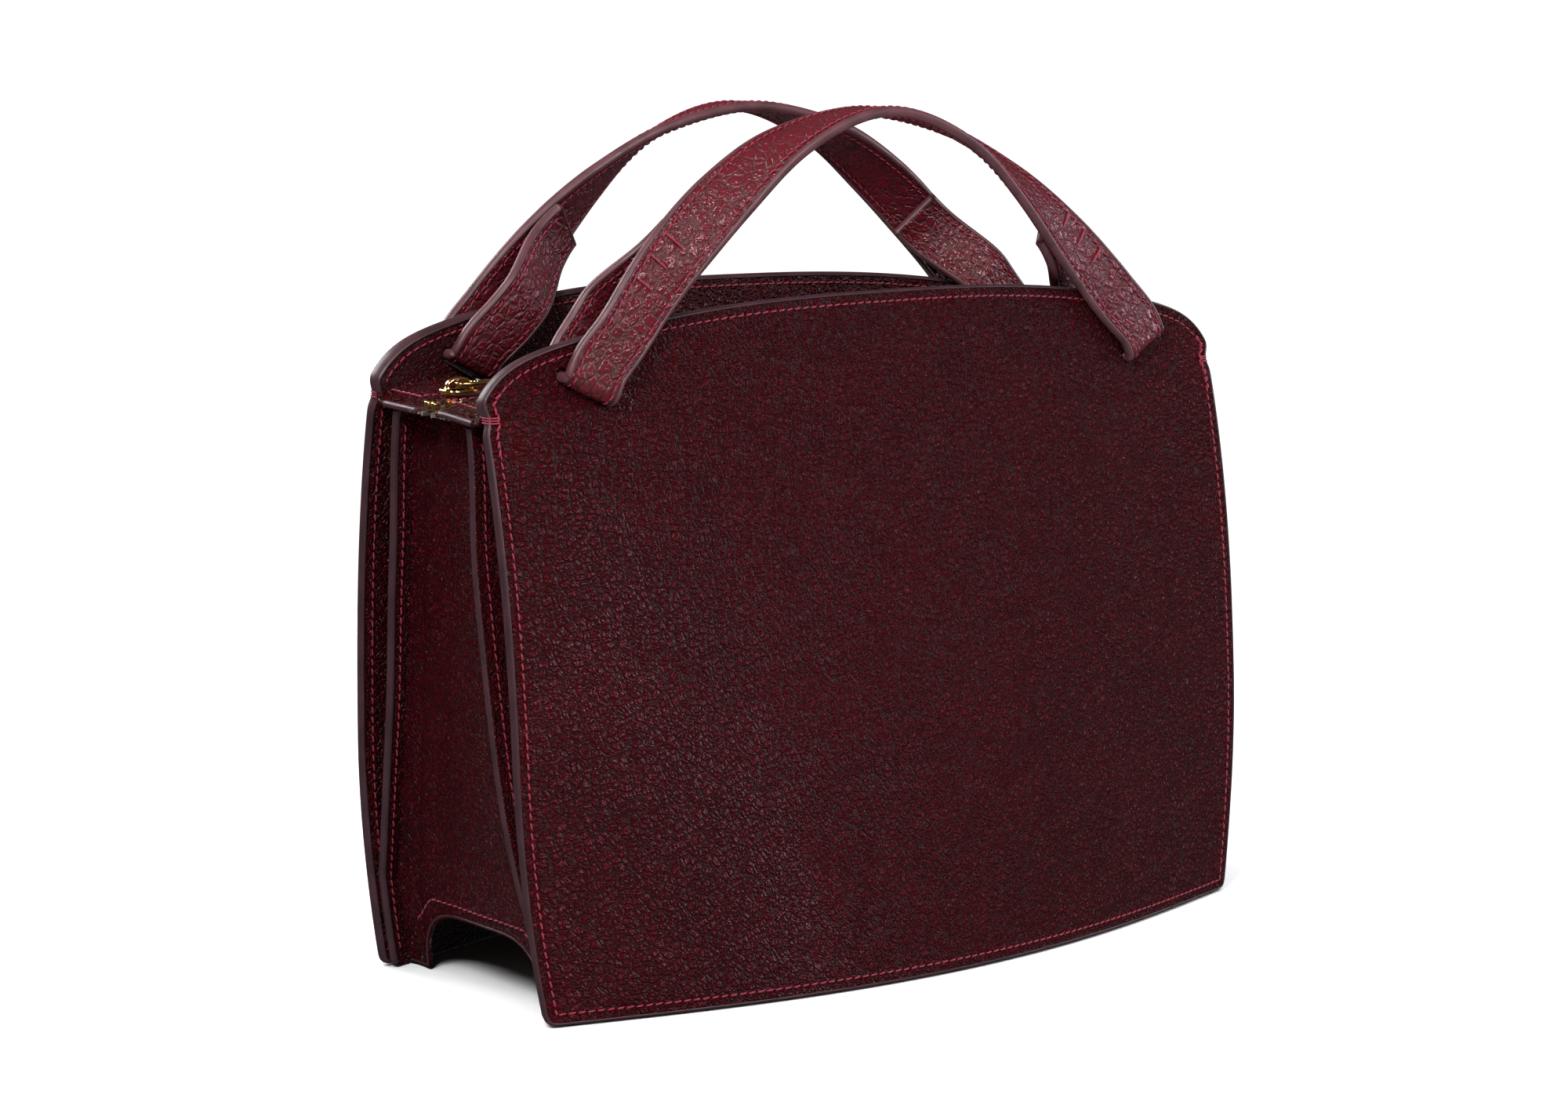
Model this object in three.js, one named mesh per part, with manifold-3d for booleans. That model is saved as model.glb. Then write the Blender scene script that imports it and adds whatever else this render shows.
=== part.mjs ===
// Leather satchel bag, millimetres, +Z up, front towards -Y, origin under the middle of the bag.
import * as THREE from 'three';
import { mergeVertices } from 'three/addons/utils/BufferGeometryUtils.js';
import Module from 'manifold-3d';

const wasm = await Module();
wasm.setup();

// ---- driving dimensions -------------------------------------------------------------------
const HALF_W_BOTTOM = 157;
const HALF_W_NOTCH = 164.7;
const BELLY_Z = 85;
const NOTCH_Z = 205;
const HALF_D_BOTTOM = 53.5;
const HALF_D_NOTCH = 38;
const DEPTH_POWER = 3.4;
const HEAD_LEAN = 0.07;
const HEAD_EASE = 3;
const BOW_BOTTOM = 32;
const BOW_NOTCH = 12;
const BOW_POWER = 1.2;
const CROWN_Z = 240.7;
const CROWN_DROP = 19.7;
const CROWN_POWER = 2.6;
const SHOULDER_DROP = 9.5;
const SHOULDER_POWER = 22;
const CORNER_R = 3;

const GAP = 0.3;
const LEATHER = 2;
const LINING = 1.6;
const INNER = 1.6;
const FABRIC = 0.8;
const SLIP_T = 1.2;
const SLIP_HALF_W = 75;
const SLIP_Z = [66, 178];

const POCKET_FRONT = { most: 17.7, floor: 32, full: 150, closes: 0.4 };
const POCKET_BACK = { most: 12.4, floor: 34, full: 120, closes: 0.3 };
const POCKET_TURNS_Z = 150;
const BOW_KEPT = 0.65;
const LINING_CLEAR = 3;
const LINING_Z = [31, 196];
const INNER_INSET = 2.5;
const INNER_TOP_Z = 204.6;
const GUSSET_TOP_Z = 200.6;
const LEVELS = [GAP, 3, 20, 31, 38, 52, 66, 80, 94, 108, 122, 150, 178, 196, GUSSET_TOP_Z, INNER_TOP_Z];
const FLANGE = 9;
const GUSSET_SAG = 2.5;
const ARCH_Z = 21;
const ARCH_R = 7;
const FOOT_W = 13;
const END_CLEAR = 1.5;

const ZIP_Y = 0;
const FLAP_TOP_Z = 207.6;
const FLAP_T = 1.6;
const FLAP_HALF_W = 163.4;
const FLAP_TO_ZIP = 6;
const FLAP_FOLD = 1.5;
const TAPE_T = 0.8;
const TAPE_FAR = 15;
const TAPE_NEAR = 3.9;
const TAPE_HALF_L = 164;
const TOOTH_PITCH = 4;
const TOOTH_L = 1.5;
const TOOTH_NEAR = 0.5;
const TOOTH_ROOT = 2.3;
const TOOTH_BASE = 3.6;
const TEETH_T = 3;
const TEETH_Z = 203.9;
const TEETH_X0 = -156;
const TEETH_X1 = 154;

const STOP_L = 3;
const STOP_W = 2.6;
const STOP_OFF = 2.2;
const TOP_STOP_X = TEETH_X0 - 5.5;
const END_STOP_L = 2.5;
const END_STOP_X = TEETH_X1 + 1.9;

const SLIDER_X = -151;
const SLIDER_L = 13;
const SLIDER_HALF_W = 5.2;
const SLIDER_PLATE = 1.3;
const SLIDER_HEADROOM = 2.2;
const SLIDER_WEB = 0.4;
const SLIDER_WEB_L = 4;
const BRIDGE_W = 2;
const BRIDGE_H = 3.4;
const BRIDGE_POST = 1.6;
const BRIDGE_BEAM = 1.2;
const BRIDGE_HALF_L = 4.6;
const BRIDGE_LAP = 0.2;
const PULLER_L = 30;
const PULLER_W = 6.5;
const PULLER_T = 1.5;
const PULLER_AXIS = 1.5;
const PULLER_BACK = 0.8;
const PULLER_WAIST = [10, 13, 0.6];
const PULLER_TIP = [3, 0.5];
const PULLER_EYE = [0.8, 7.6, 1.7];

const FLOOR_Z = 26;
const BOTTOM_T = 1.8;
const BOARD_T = 2;
const BOARD_CLEAR = 3;

const SLOT_X = 126;
const SLOT_Z = 213.5;
const SLOT_TILT = 28;
const SLOT_L = 24.5;
const SLOT_H = 5.2;
const STRAP_W = 22;
const STRAP_OUTER = 1.9;
const STRAP_UNDER = 1.4;
const STRAP_T = STRAP_OUTER + GAP + STRAP_UNDER;
const HANDLE_TOP_Z = 303;
const FRONT_HANDLE_LEAN = 4;
const BACK_HANDLE_LEAN = -2;
const LEAN_FULL_Z = 258;
const HANDLE_Y = 43.5;
const LEG_RISE = [[112, 231], [92, 252.5], [66, 275.5], [38, 293.5]];
const FACE_SLOPE = 0.1;
const TAIL_L = 66;
const FOLD_R = 2;
const LOOP_BULGE = 5;
const TAIL_MEETS_LEG = [29, 64];
const LEG_CLEAR = 1.2;
const LEG_FOOT = 8;
const LEG_CROSSES = { x: 110, z: 234, clear: 1.8, by: 26 };
const LEG_TURNS = 14;
const LEG_STRAIGHTENS = [4, 34];
const LEG_LEAVES = 44;
const BULGE_END = 54;
const TAIL_STEPS = 18;
const LEG_STEPS = 26;
const TAIL_CLEAR = 2.2;

const deg = THREE.MathUtils.degToRad;
const lerp = THREE.MathUtils.lerp;
const smooth = (x, a, b) => THREE.MathUtils.smoothstep(x, a, b);

// ---- shape of the two faces ---------------------------------------------------------------
const sideHalfWidth = (z) => lerp(HALF_W_NOTCH, HALF_W_BOTTOM, (1 - Math.min(1, z / BELLY_Z)) ** 2);

// Half width with the rounded corner at the foot.
function halfWidth(z) {
  const inset = z < CORNER_R ? CORNER_R * (1 - Math.sqrt(1 - (1 - z / CORNER_R) ** 2)) : 0;
  return sideHalfWidth(z) - inset;
}

function halfDepth(x, z) {
  const k = Math.min(1, Math.max(0, z) / NOTCH_Z);
  const bow = lerp(BOW_BOTTOM, BOW_NOTCH, k);
  const above = Math.max(0, z - NOTCH_Z);
  const slope = ((HALF_D_BOTTOM - HALF_D_NOTCH) * DEPTH_POWER) / NOTCH_Z - HEAD_LEAN;
  const lean = HEAD_LEAN * above + slope * HEAD_EASE * (1 - Math.exp(-above / HEAD_EASE));
  const edge = lerp(HALF_D_BOTTOM, HALF_D_NOTCH, k ** DEPTH_POWER) - lean;
  return edge + bow * (1 - Math.min(1, Math.abs(x) / HALF_W_NOTCH) ** 2) ** BOW_POWER;
}

function crown(u) {
  const a = Math.abs(u);
  return CROWN_Z - CROWN_DROP * a ** CROWN_POWER - SHOULDER_DROP * a ** SHOULDER_POWER;
}

function pocketGap(side, z) {
  const { most, floor, full, closes } = side < 0 ? POCKET_FRONT : POCKET_BACK;
  const open = 1 - (1 - THREE.MathUtils.clamp((z - floor) / (full - floor), 0, 1)) ** 2;
  return most * open * (1 - closes * smooth(z, POCKET_TURNS_Z, NOTCH_Z));
}

const innerHalfWidth = (z) => halfWidth(z) - INNER_INSET;
const webX = (z) => sideHalfWidth(z) - INNER_INSET - FLANGE;

// Depth of the inner panel's outer surface behind the bag's outer face.
const innerDepth = (side, z) => LEATHER + LINING + 2 * GAP + pocketGap(side, z);

function innerY(side, x, z, extra) {
  const flat = halfDepth(HALF_W_NOTCH, z);
  const bowed = halfDepth(x, z) - flat;
  const kept = bowed * lerp(1, BOW_KEPT, smooth(z, POCKET_FRONT.floor, NOTCH_Z));
  return side * (flat + kept - innerDepth(side, z) - extra);
}

// ---- mesh helpers -------------------------------------------------------------------------
function solid(points, faces) {
  const geometry = new THREE.BufferGeometry();
  geometry.setAttribute('position', new THREE.Float32BufferAttribute(points.flat(), 3));
  geometry.setIndex(faces.flat());
  const merged = mergeVertices(geometry, 1e-4);
  const p = merged.attributes.position;
  const index = merged.index;
  const a = new THREE.Vector3();
  const b = new THREE.Vector3();
  const c = new THREE.Vector3();
  let volume = 0;
  for (let i = 0; i < index.count; i += 3) {
    a.fromBufferAttribute(p, index.getX(i));
    b.fromBufferAttribute(p, index.getX(i + 1));
    c.fromBufferAttribute(p, index.getX(i + 2));
    volume += a.dot(b.cross(c));
  }
  if (volume < 0) {
    for (let i = 0; i < index.count; i += 3) {
      const first = index.getX(i);
      index.setX(i, index.getX(i + 1));
      index.setX(i + 1, first);
    }
  }
  return merged;
}

// A closed slab between two surfaces: at(u, v, 0) outside and at(u, v, 1) inside.
function slab(nu, nv, at) {
  const points = [];
  const faces = [];
  const id = (s, i, j) => (s * (nv + 1) + j) * (nu + 1) + i;
  for (let s = 0; s < 2; s += 1) {
    for (let j = 0; j <= nv; j += 1) {
      for (let i = 0; i <= nu; i += 1) {
        points.push(at((2 * i) / nu - 1, j / nv, s));
      }
    }
  }
  const quad = (a, b, c, d) => faces.push([a, b, c], [a, c, d]);
  for (let j = 0; j < nv; j += 1) {
    for (let i = 0; i < nu; i += 1) {
      quad(id(0, i, j), id(0, i + 1, j), id(0, i + 1, j + 1), id(0, i, j + 1));
      quad(id(1, i, j), id(1, i, j + 1), id(1, i + 1, j + 1), id(1, i + 1, j));
    }
  }
  for (let i = 0; i < nu; i += 1) {
    quad(id(0, i, 0), id(1, i, 0), id(1, i + 1, 0), id(0, i + 1, 0));
    quad(id(0, i, nv), id(0, i + 1, nv), id(1, i + 1, nv), id(1, i, nv));
  }
  for (let j = 0; j < nv; j += 1) {
    quad(id(0, 0, j), id(0, 0, j + 1), id(1, 0, j + 1), id(1, 0, j));
    quad(id(0, nu, j), id(1, nu, j), id(1, nu, j + 1), id(0, nu, j + 1));
  }
  return solid(points, faces);
}

// A closed skin through rings of points; flat(p) gives each end ring's outline as 2-D points.
function loft(rings, flat) {
  const n = rings[0].length;
  const faces = [];
  for (let r = 0; r + 1 < rings.length; r += 1) {
    for (let i = 0; i < n; i += 1) {
      const k = (i + 1) % n;
      const a = r * n + i;
      const b = r * n + k;
      if (2 * i < n) faces.push([a, b, b + n], [a, b + n, a + n]);
      else faces.push([a, b, a + n], [b, b + n, a + n]);
    }
  }
  const last = (rings.length - 1) * n;
  const cap = (ring, base, flip) => {
    const outline = ring.map((q) => new THREE.Vector2(...flat(q)));
    const turned = THREE.ShapeUtils.isClockWise(outline) !== flip;
    for (const [a, b, c] of THREE.ShapeUtils.triangulateShape(outline, [])) {
      faces.push(turned ? [base + a, base + b, base + c] : [base + a, base + c, base + b]);
    }
  };
  cap(rings[0], 0, false);
  cap(rings[rings.length - 1], last, true);
  return solid(rings.flat(), faces);
}

function toManifold(geometry) {
  const bare = geometry.clone();
  bare.deleteAttribute('normal');
  bare.deleteAttribute('uv');
  const merged = mergeVertices(bare, 1e-4);
  const mesh = new wasm.Mesh({
    numProp: 3,
    vertProperties: new Float32Array(merged.attributes.position.array),
    triVerts: new Uint32Array(merged.index.array),
  });
  return new wasm.Manifold(mesh);
}

function fromManifold(shape) {
  const mesh = shape.getMesh();
  const geometry = new THREE.BufferGeometry();
  geometry.setAttribute('position', new THREE.BufferAttribute(new Float32Array(mesh.vertProperties), 3));
  geometry.setIndex(new THREE.BufferAttribute(new Uint32Array(mesh.triVerts), 1));
  return geometry;
}

const block = (lx, ly, lz, x, y, z) => new THREE.BoxGeometry(lx, ly, lz).translate(x, y, z);

function join(...parts) {
  return fromManifold(parts.map(toManifold).reduce((sum, part) => sum.add(part)));
}

function cut(geometry, ...tools) {
  const whole = toManifold(geometry);
  return fromManifold(tools.map(toManifold).reduce((left, tool) => left.subtract(tool), whole));
}

// ---- group and materials ------------------------------------------------------------------
const bag = new THREE.Group();
bag.name = 'satchel_bag';

const FINISHES = {
  leather: [0x4a1420, 0.45, 0],
  strap: [0x551824, 0.42, 0],
  suede: [0x3d1520, 0.7, 0],
  fabric: [0x6b2a35, 0.85, 0],
  board: [0x8a7a66, 0.9, 0],
  tape: [0x3a2019, 0.9, 0],
  gold: [0xd9ae58, 0.22, 1],
};

function add(name, geometry, finish) {
  const [color, roughness, metalness] = FINISHES[finish];
  geometry.computeVertexNormals();
  const mesh = new THREE.Mesh(geometry, new THREE.MeshStandardMaterial({ color, roughness, metalness }));
  mesh.name = name;
  bag.add(mesh);
}

// ---- strap slots through the head of each face --------------------------------------------
function slotTool(side, end) {
  const tilt = new THREE.Matrix4().makeRotationY(end * deg(-SLOT_TILT));
  const tool = new THREE.BoxGeometry(SLOT_L, 40, SLOT_H).applyMatrix4(tilt);
  return tool.translate(end * SLOT_X, side * halfDepth(SLOT_X, SLOT_Z), SLOT_Z);
}
const slots = (side) => [slotTool(side, -1), slotTool(side, 1)];

// ---- outer faces and their linings --------------------------------------------------------
function faceSheet(side, from, thick, inset, nu, nv) {
  return slab(nu, nv, (u, v, s) => {
    const z = lerp(inset, crown(u) - inset, v);
    const x = u * (halfWidth(z) - inset);
    return [x, side * (halfDepth(x, z) - from - s * thick), z];
  });
}

// ---- head facing that turns in over the zip -----------------------------------------------
function headFacing(side) {
  const rings = [];
  const steps = 26;
  const front = LEATHER + LINING + 2 * GAP;
  for (let i = 0; i <= steps; i += 1) {
    const u = (2 * i) / steps - 1;
    const x = u * FLAP_HALF_W;
    const top = crown(u) - FLAP_FOLD;
    const low = FLAP_TOP_Z - FLAP_T;
    const face = (d, z) => side * (halfDepth(x, z) - d);
    const lip = ZIP_Y + side * FLAP_TO_ZIP;
    rings.push([
      [x, face(front, top), top],
      [x, face(front + FLAP_T, top), top],
      [x, face(front + FLAP_T, FLAP_TOP_Z + FLAP_FOLD), FLAP_TOP_Z + FLAP_FOLD],
      [x, face(front + FLAP_T + FLAP_FOLD, FLAP_TOP_Z), FLAP_TOP_Z],
      [x, lip, FLAP_TOP_Z],
      [x, lip, low],
      [x, face(front + FLAP_FOLD, low), low],
      [x, face(front, low + FLAP_FOLD), low + FLAP_FOLD],
    ]);
  }
  return loft(rings, (q) => [q[1], q[2]]);
}

// ---- inner panels, their fabric lining, gussets and floor ---------------------------------
const between = (low, high) => LEVELS.filter((z) => z >= low && z <= high);

function innerSheet(side, nu, levels, halfAt, depth, thick) {
  return slab(nu, levels.length - 1, (u, v, s) => {
    const z = levels[Math.round(v * (levels.length - 1))];
    const x = u * halfAt(z);
    return [x, innerY(side, x, z, depth + s * thick), z];
  });
}

const innerPanel = (side) => innerSheet(side, 20, LEVELS, innerHalfWidth, 0, INNER);

function compartmentLining(side) {
  const half = (z) => webX(z) - LINING - LINING_CLEAR;
  return innerSheet(side, 20, between(...LINING_Z), half, INNER + GAP, FABRIC);
}

function gusset(end) {
  const rings = [];
  for (const z of between(GAP, GUSSET_TOP_Z)) {
    const edge = innerHalfWidth(z);
    const web = webX(z);
    const depth = INNER + GAP;
    const y = (side, x, extra) => innerY(side, x, z, depth + extra);
    const sag = GUSSET_SAG * Math.sin((Math.PI * z) / GUSSET_TOP_Z);
    const middle = (y(1, web, LINING) + y(-1, web, LINING)) / 2;
    rings.push([
      [end * edge, y(-1, edge, 0), z],
      [end * (web - LINING), y(-1, web, 0), z],
      [end * (web - LINING - sag), middle, z],
      [end * (web - LINING), y(1, web, 0), z],
      [end * edge, y(1, edge, 0), z],
      [end * edge, y(1, edge, LINING), z],
      [end * web, y(1, web, LINING), z],
      [end * (web - sag), middle, z],
      [end * web, y(-1, web, LINING), z],
      [end * edge, y(-1, edge, LINING), z],
    ]);
  }
  return cut(loft(rings, (q) => [q[0], q[1]]), archTool());
}

// The arch between the gusset's two feet, from under the ground to ARCH_Z.
function archTool() {
  const reach = (side) => innerY(side, webX(0), 0, INNER + GAP + LINING) - side * FOOT_W;
  const arch = new THREE.Shape();
  arch.moveTo(reach(-1), -CORNER_R);
  arch.lineTo(reach(1), -CORNER_R);
  arch.lineTo(reach(1), ARCH_Z - ARCH_R);
  arch.quadraticCurveTo(reach(1), ARCH_Z, reach(1) - ARCH_R, ARCH_Z);
  arch.lineTo(reach(-1) + ARCH_R, ARCH_Z);
  arch.quadraticCurveTo(reach(-1), ARCH_Z, reach(-1), ARCH_Z - ARCH_R);
  arch.closePath();
  const long = 3 * HALF_W_NOTCH;
  const tool = new THREE.ExtrudeGeometry(arch, { depth: long, bevelEnabled: false, curveSegments: 5 });
  return tool.rotateX(deg(90)).rotateZ(deg(90)).translate(-long / 2, 0, 0);
}

function floorPanel() {
  const rings = [];
  const steps = 20;
  const top = FLOOR_Z + BOTTOM_T;
  for (let i = 0; i <= steps; i += 1) {
    const point = (side, z, extra) => {
      const x = lerp(-1, 1, i / steps) * (webX(z) - LINING - END_CLEAR);
      return [x, innerY(side, x, z, INNER + GAP + extra), z];
    };
    rings.push([
      point(-1, 0, 0),
      point(-1, top, 0),
      point(1, top, 0),
      point(1, 0, 0),
      point(1, 0, BOTTOM_T),
      point(1, FLOOR_Z, BOTTOM_T),
      point(-1, FLOOR_Z, BOTTOM_T),
      point(-1, 0, BOTTOM_T),
    ]);
  }
  return loft(rings, (q) => [q[1], q[2]]);
}

function baseBoard() {
  const low = FLOOR_Z + BOTTOM_T + GAP;
  const half = webX(low) - LINING - BOARD_CLEAR;
  return slab(12, 1, (u, v, s) => {
    const x = u * half;
    return [x, innerY(v < 0.5 ? -1 : 1, x, low, INNER + GAP + BOARD_CLEAR), low + s * BOARD_T];
  });
}

function slipPocket() {
  return innerSheet(1, 20, between(...SLIP_Z), () => SLIP_HALF_W, INNER + FABRIC + 2 * GAP, SLIP_T);
}

// ---- zip ----------------------------------------------------------------------------------
const tapeTop = FLAP_TOP_Z - FLAP_T - GAP;

function zipTape(side) {
  const middle = (TAPE_FAR + TAPE_NEAR) / 2;
  const deep = TAPE_FAR - TAPE_NEAR;
  return block(2 * TAPE_HALF_L, deep, TAPE_T, 0, ZIP_Y + side * middle, tapeTop - TAPE_T / 2);
}

function zipTeeth(side) {
  const comb = new THREE.Shape();
  const shift = side < 0 ? 0 : TOOTH_PITCH / 2;
  comb.moveTo(TEETH_X0, TOOTH_ROOT);
  for (let x = TEETH_X0 + 1 + shift; x + TOOTH_L < TEETH_X1; x += TOOTH_PITCH) {
    comb.lineTo(x, TOOTH_ROOT);
    comb.lineTo(x, TOOTH_NEAR);
    comb.lineTo(x + TOOTH_L, TOOTH_NEAR);
    comb.lineTo(x + TOOTH_L, TOOTH_ROOT);
  }
  comb.lineTo(TEETH_X1, TOOTH_ROOT);
  comb.lineTo(TEETH_X1, TOOTH_BASE);
  comb.lineTo(TEETH_X0, TOOTH_BASE);
  comb.closePath();
  const geometry = new THREE.ExtrudeGeometry(comb, { depth: TEETH_T, bevelEnabled: false });
  geometry.scale(1, side, 1).translate(0, ZIP_Y, TEETH_Z);
  const bare = new THREE.BufferGeometry();
  bare.setAttribute('position', geometry.attributes.position);
  const merged = mergeVertices(bare, 1e-4);
  const points = [];
  for (let i = 0; i < merged.attributes.position.count; i += 1) {
    points.push(new THREE.Vector3().fromBufferAttribute(merged.attributes.position, i).toArray());
  }
  return solid(points, [Array.from(merged.index.array)]);
}

function zipSlider() {
  const under = TEETH_Z - GAP;
  const over = TEETH_Z + TEETH_T + SLIDER_HEADROOM;
  const width = 2 * SLIDER_HALF_W;
  const bottom = block(SLIDER_L, width, SLIDER_PLATE, SLIDER_X, ZIP_Y, under - SLIDER_PLATE / 2);
  const top = block(SLIDER_L, width, SLIDER_PLATE, SLIDER_X, ZIP_Y, over + SLIDER_PLATE / 2);
  const rise = over - under + 2 * SLIDER_PLATE;
  const webX0 = SLIDER_X - SLIDER_L / 2 + SLIDER_WEB_L / 2;
  const web = block(SLIDER_WEB_L, SLIDER_WEB, rise - SLIDER_PLATE, webX0, ZIP_Y, (over + under) / 2);
  const bridgeZ = over + SLIDER_PLATE;
  const postZ = bridgeZ + BRIDGE_H / 2 - BRIDGE_LAP;
  const left = block(BRIDGE_POST, BRIDGE_W, BRIDGE_H, SLIDER_X - BRIDGE_HALF_L, ZIP_Y, postZ);
  const right = block(BRIDGE_POST, BRIDGE_W, BRIDGE_H, SLIDER_X + BRIDGE_HALF_L, ZIP_Y, postZ);
  const beamL = 2 * BRIDGE_HALF_L + BRIDGE_POST;
  const beam = block(beamL, BRIDGE_W, BRIDGE_BEAM, SLIDER_X, ZIP_Y, bridgeZ + BRIDGE_H + BRIDGE_LAP);
  return join(bottom, top, web, left, right, beam);
}

const pullerZ = TEETH_Z + TEETH_T + SLIDER_HEADROOM + SLIDER_PLATE + PULLER_AXIS;

function zipPuller() {
  const outline = new THREE.Shape();
  const w = PULLER_W / 2;
  const [neck, waist, narrow] = PULLER_WAIST;
  const [taper, end] = PULLER_TIP;
  outline.moveTo(-PULLER_BACK, -w);
  outline.lineTo(neck, -w);
  outline.lineTo(waist, -w * narrow);
  outline.lineTo(PULLER_L - taper, -w);
  outline.lineTo(PULLER_L, -w * end);
  outline.lineTo(PULLER_L, w * end);
  outline.lineTo(PULLER_L - taper, w);
  outline.lineTo(waist, w * narrow);
  outline.lineTo(neck, w);
  outline.lineTo(-PULLER_BACK, w);
  outline.closePath();
  const [near, far, half] = PULLER_EYE;
  const eye = new THREE.Path();
  eye.moveTo(near, -half);
  eye.lineTo(near, half);
  eye.lineTo(far, half);
  eye.lineTo(far, -half);
  eye.closePath();
  outline.holes.push(eye);
  const plate = new THREE.ExtrudeGeometry(outline, { depth: PULLER_T, bevelEnabled: false });
  return plate.translate(SLIDER_X, ZIP_Y, pullerZ - PULLER_T / 2);
}

// ---- handles ------------------------------------------------------------------------------
// Centre line of the right-hand leg in the X-Z plane, from the middle of its slot over the top.
const slotUp = new THREE.Vector3(-Math.sin(deg(SLOT_TILT)), 0, Math.cos(deg(SLOT_TILT)));
const slotMiddle = new THREE.Vector3(SLOT_X, 0, SLOT_Z);
const legCurve = new THREE.CatmullRomCurve3([
  slotMiddle,
  slotMiddle.clone().addScaledVector(slotUp, LEG_FOOT),
  ...LEG_RISE.map(([x, z]) => new THREE.Vector3(x, 0, z)),
  new THREE.Vector3(0, 0, HANDLE_TOP_Z),
  new THREE.Vector3(-LEG_RISE.at(-1)[0], 0, LEG_RISE.at(-1)[1]),
]);
legCurve.arcLengthDivisions = 800;
const LEG_TOTAL = legCurve.getLength();
const legPoint = (s) => legCurve.getPointAt(Math.min(1, Math.max(0, s / LEG_TOTAL)));

function apexDistance() {
  let low = 0;
  let high = LEG_TOTAL;
  for (let i = 0; i < 40; i += 1) {
    const mid = (low + high) / 2;
    if (legPoint(mid).x > 0) low = mid;
    else high = mid;
  }
  return low;
}
const APEX_S = apexDistance();
const legTangent = (s) => legPoint(s + 0.5).sub(legPoint(s - 0.5)).normalize();
const HEAD_T = LEATHER + LINING + FLAP_T + 2 * GAP;
const LEG_OFF = HEAD_T / 2 + LEG_CLEAR + STRAP_T / 2;
const TAIL_OFF = HEAD_T / 2 + TAIL_CLEAR + STRAP_T / 2;

// Where the leg's centre lies in Y at distance s: against the head, then over the panel's edge.
function legY(side, s) {
  const slotY = side * (halfDepth(SLOT_X, SLOT_Z) - HEAD_T / 2);
  const { x, z, clear, by } = LEG_CROSSES;
  const over = side * (halfDepth(x, z) + STRAP_T / 2 + clear);
  const near = lerp(slotY + side * LEG_OFF, over, smooth(s, 0, by));
  return lerp(near, side * HANDLE_Y, smooth(s, LEG_LEAVES, APEX_S));
}

// Width direction: along the slot at its foot, turned level with the ground at the apex.
function legWidth(side, s) {
  const t = legTangent(s);
  const turn = deg(90) * smooth(s, LEG_TURNS, APEX_S);
  const lean = -side * FACE_SLOPE * (1 - smooth(s, ...LEG_STRAIGHTENS));
  const across = new THREE.Vector3(t.z, lean, -t.x).normalize();
  return across.multiplyScalar(Math.cos(turn)).add(new THREE.Vector3(0, -side * Math.sin(turn), 0));
}

function tailCentre(side, s) {
  const w = legWidth(side, s);
  const n = new THREE.Vector3().crossVectors(w, legTangent(s)).normalize();
  if (n.y * side > 0) n.negate();
  const k = smooth(s, ...TAIL_MEETS_LEG);
  const along = new THREE.Vector3(0, -side * (1 - k), 0).addScaledVector(n, k).normalize();
  const sewn = STRAP_T + GAP;
  const open = LEG_OFF + TAIL_OFF + LOOP_BULGE * Math.sin(Math.PI * Math.min(1, s / BULGE_END));
  const p = legPoint(s);
  p.y = legY(side, s);
  return p.addScaledVector(along, lerp(open, sewn, k));
}

// Stations along one handle from the right-hand tail's end to the apex: centre and width direction.
function handleStations(side) {
  const stations = [];
  const push = (centre, width) => stations.push({ centre, width });
  for (let i = 0; i <= TAIL_STEPS; i += 1) {
    const s = lerp(TAIL_L, FOLD_R, i / TAIL_STEPS);
    push(tailCentre(side, s), legWidth(side, s));
  }
  const slotY = side * (halfDepth(SLOT_X, SLOT_Z) - HEAD_T / 2);
  const fold = (hand, off, turn) => {
    const p = slotMiddle.clone().addScaledVector(slotUp, FOLD_R * (1 - Math.sin(deg(turn))));
    p.y = slotY + side * hand * (off - FOLD_R + FOLD_R * Math.cos(deg(turn)));
    push(p, legWidth(side, 0));
  };
  for (const turn of [30, 60, 90]) fold(-1, TAIL_OFF, turn);
  for (const turn of [90, 60, 30]) fold(1, LEG_OFF, turn);
  for (let i = 0; i <= LEG_STEPS; i += 1) {
    const s = lerp(FOLD_R, APEX_S, i / LEG_STEPS);
    const p = legPoint(s);
    push(new THREE.Vector3(p.x, legY(side, s), p.z), legWidth(side, s));
  }
  return stations;
}

function handleLayer(side, from, thick) {
  const half = handleStations(side);
  const mirrored = half.slice(0, -1).reverse().map((q) => ({
    centre: new THREE.Vector3(-q.centre.x, q.centre.y, q.centre.z),
    width: new THREE.Vector3(-q.width.x, q.width.y, q.width.z),
  }));
  const stations = half.concat(mirrored);
  const lean = side < 0 ? FRONT_HANDLE_LEAN : BACK_HANDLE_LEAN;
  for (const q of stations) q.centre.x -= lean * smooth(q.centre.z, NOTCH_Z, LEAN_FULL_Z);
  const rings = stations.map((q, i) => {
    const ahead = stations[Math.min(stations.length - 1, i + 1)].centre;
    const behind = stations[Math.max(0, i - 1)].centre;
    const t = ahead.clone().sub(behind).normalize();
    const n = new THREE.Vector3().crossVectors(t, q.width).normalize();
    const w = new THREE.Vector3().crossVectors(n, t).normalize();
    const edge = STRAP_W / 2;
    const a = (STRAP_T / 2 - from) * side;
    const b = (STRAP_T / 2 - from - thick) * side;
    const corner = (cw, cn) => q.centre.clone().addScaledVector(w, cw).addScaledVector(n, cn).toArray();
    return [corner(-edge, a), corner(edge, a), corner(edge, b), corner(-edge, b)];
  });
  return loft(rings, (q) => [q[0], q[2] + q[1] * 0.5]);
}

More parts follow.
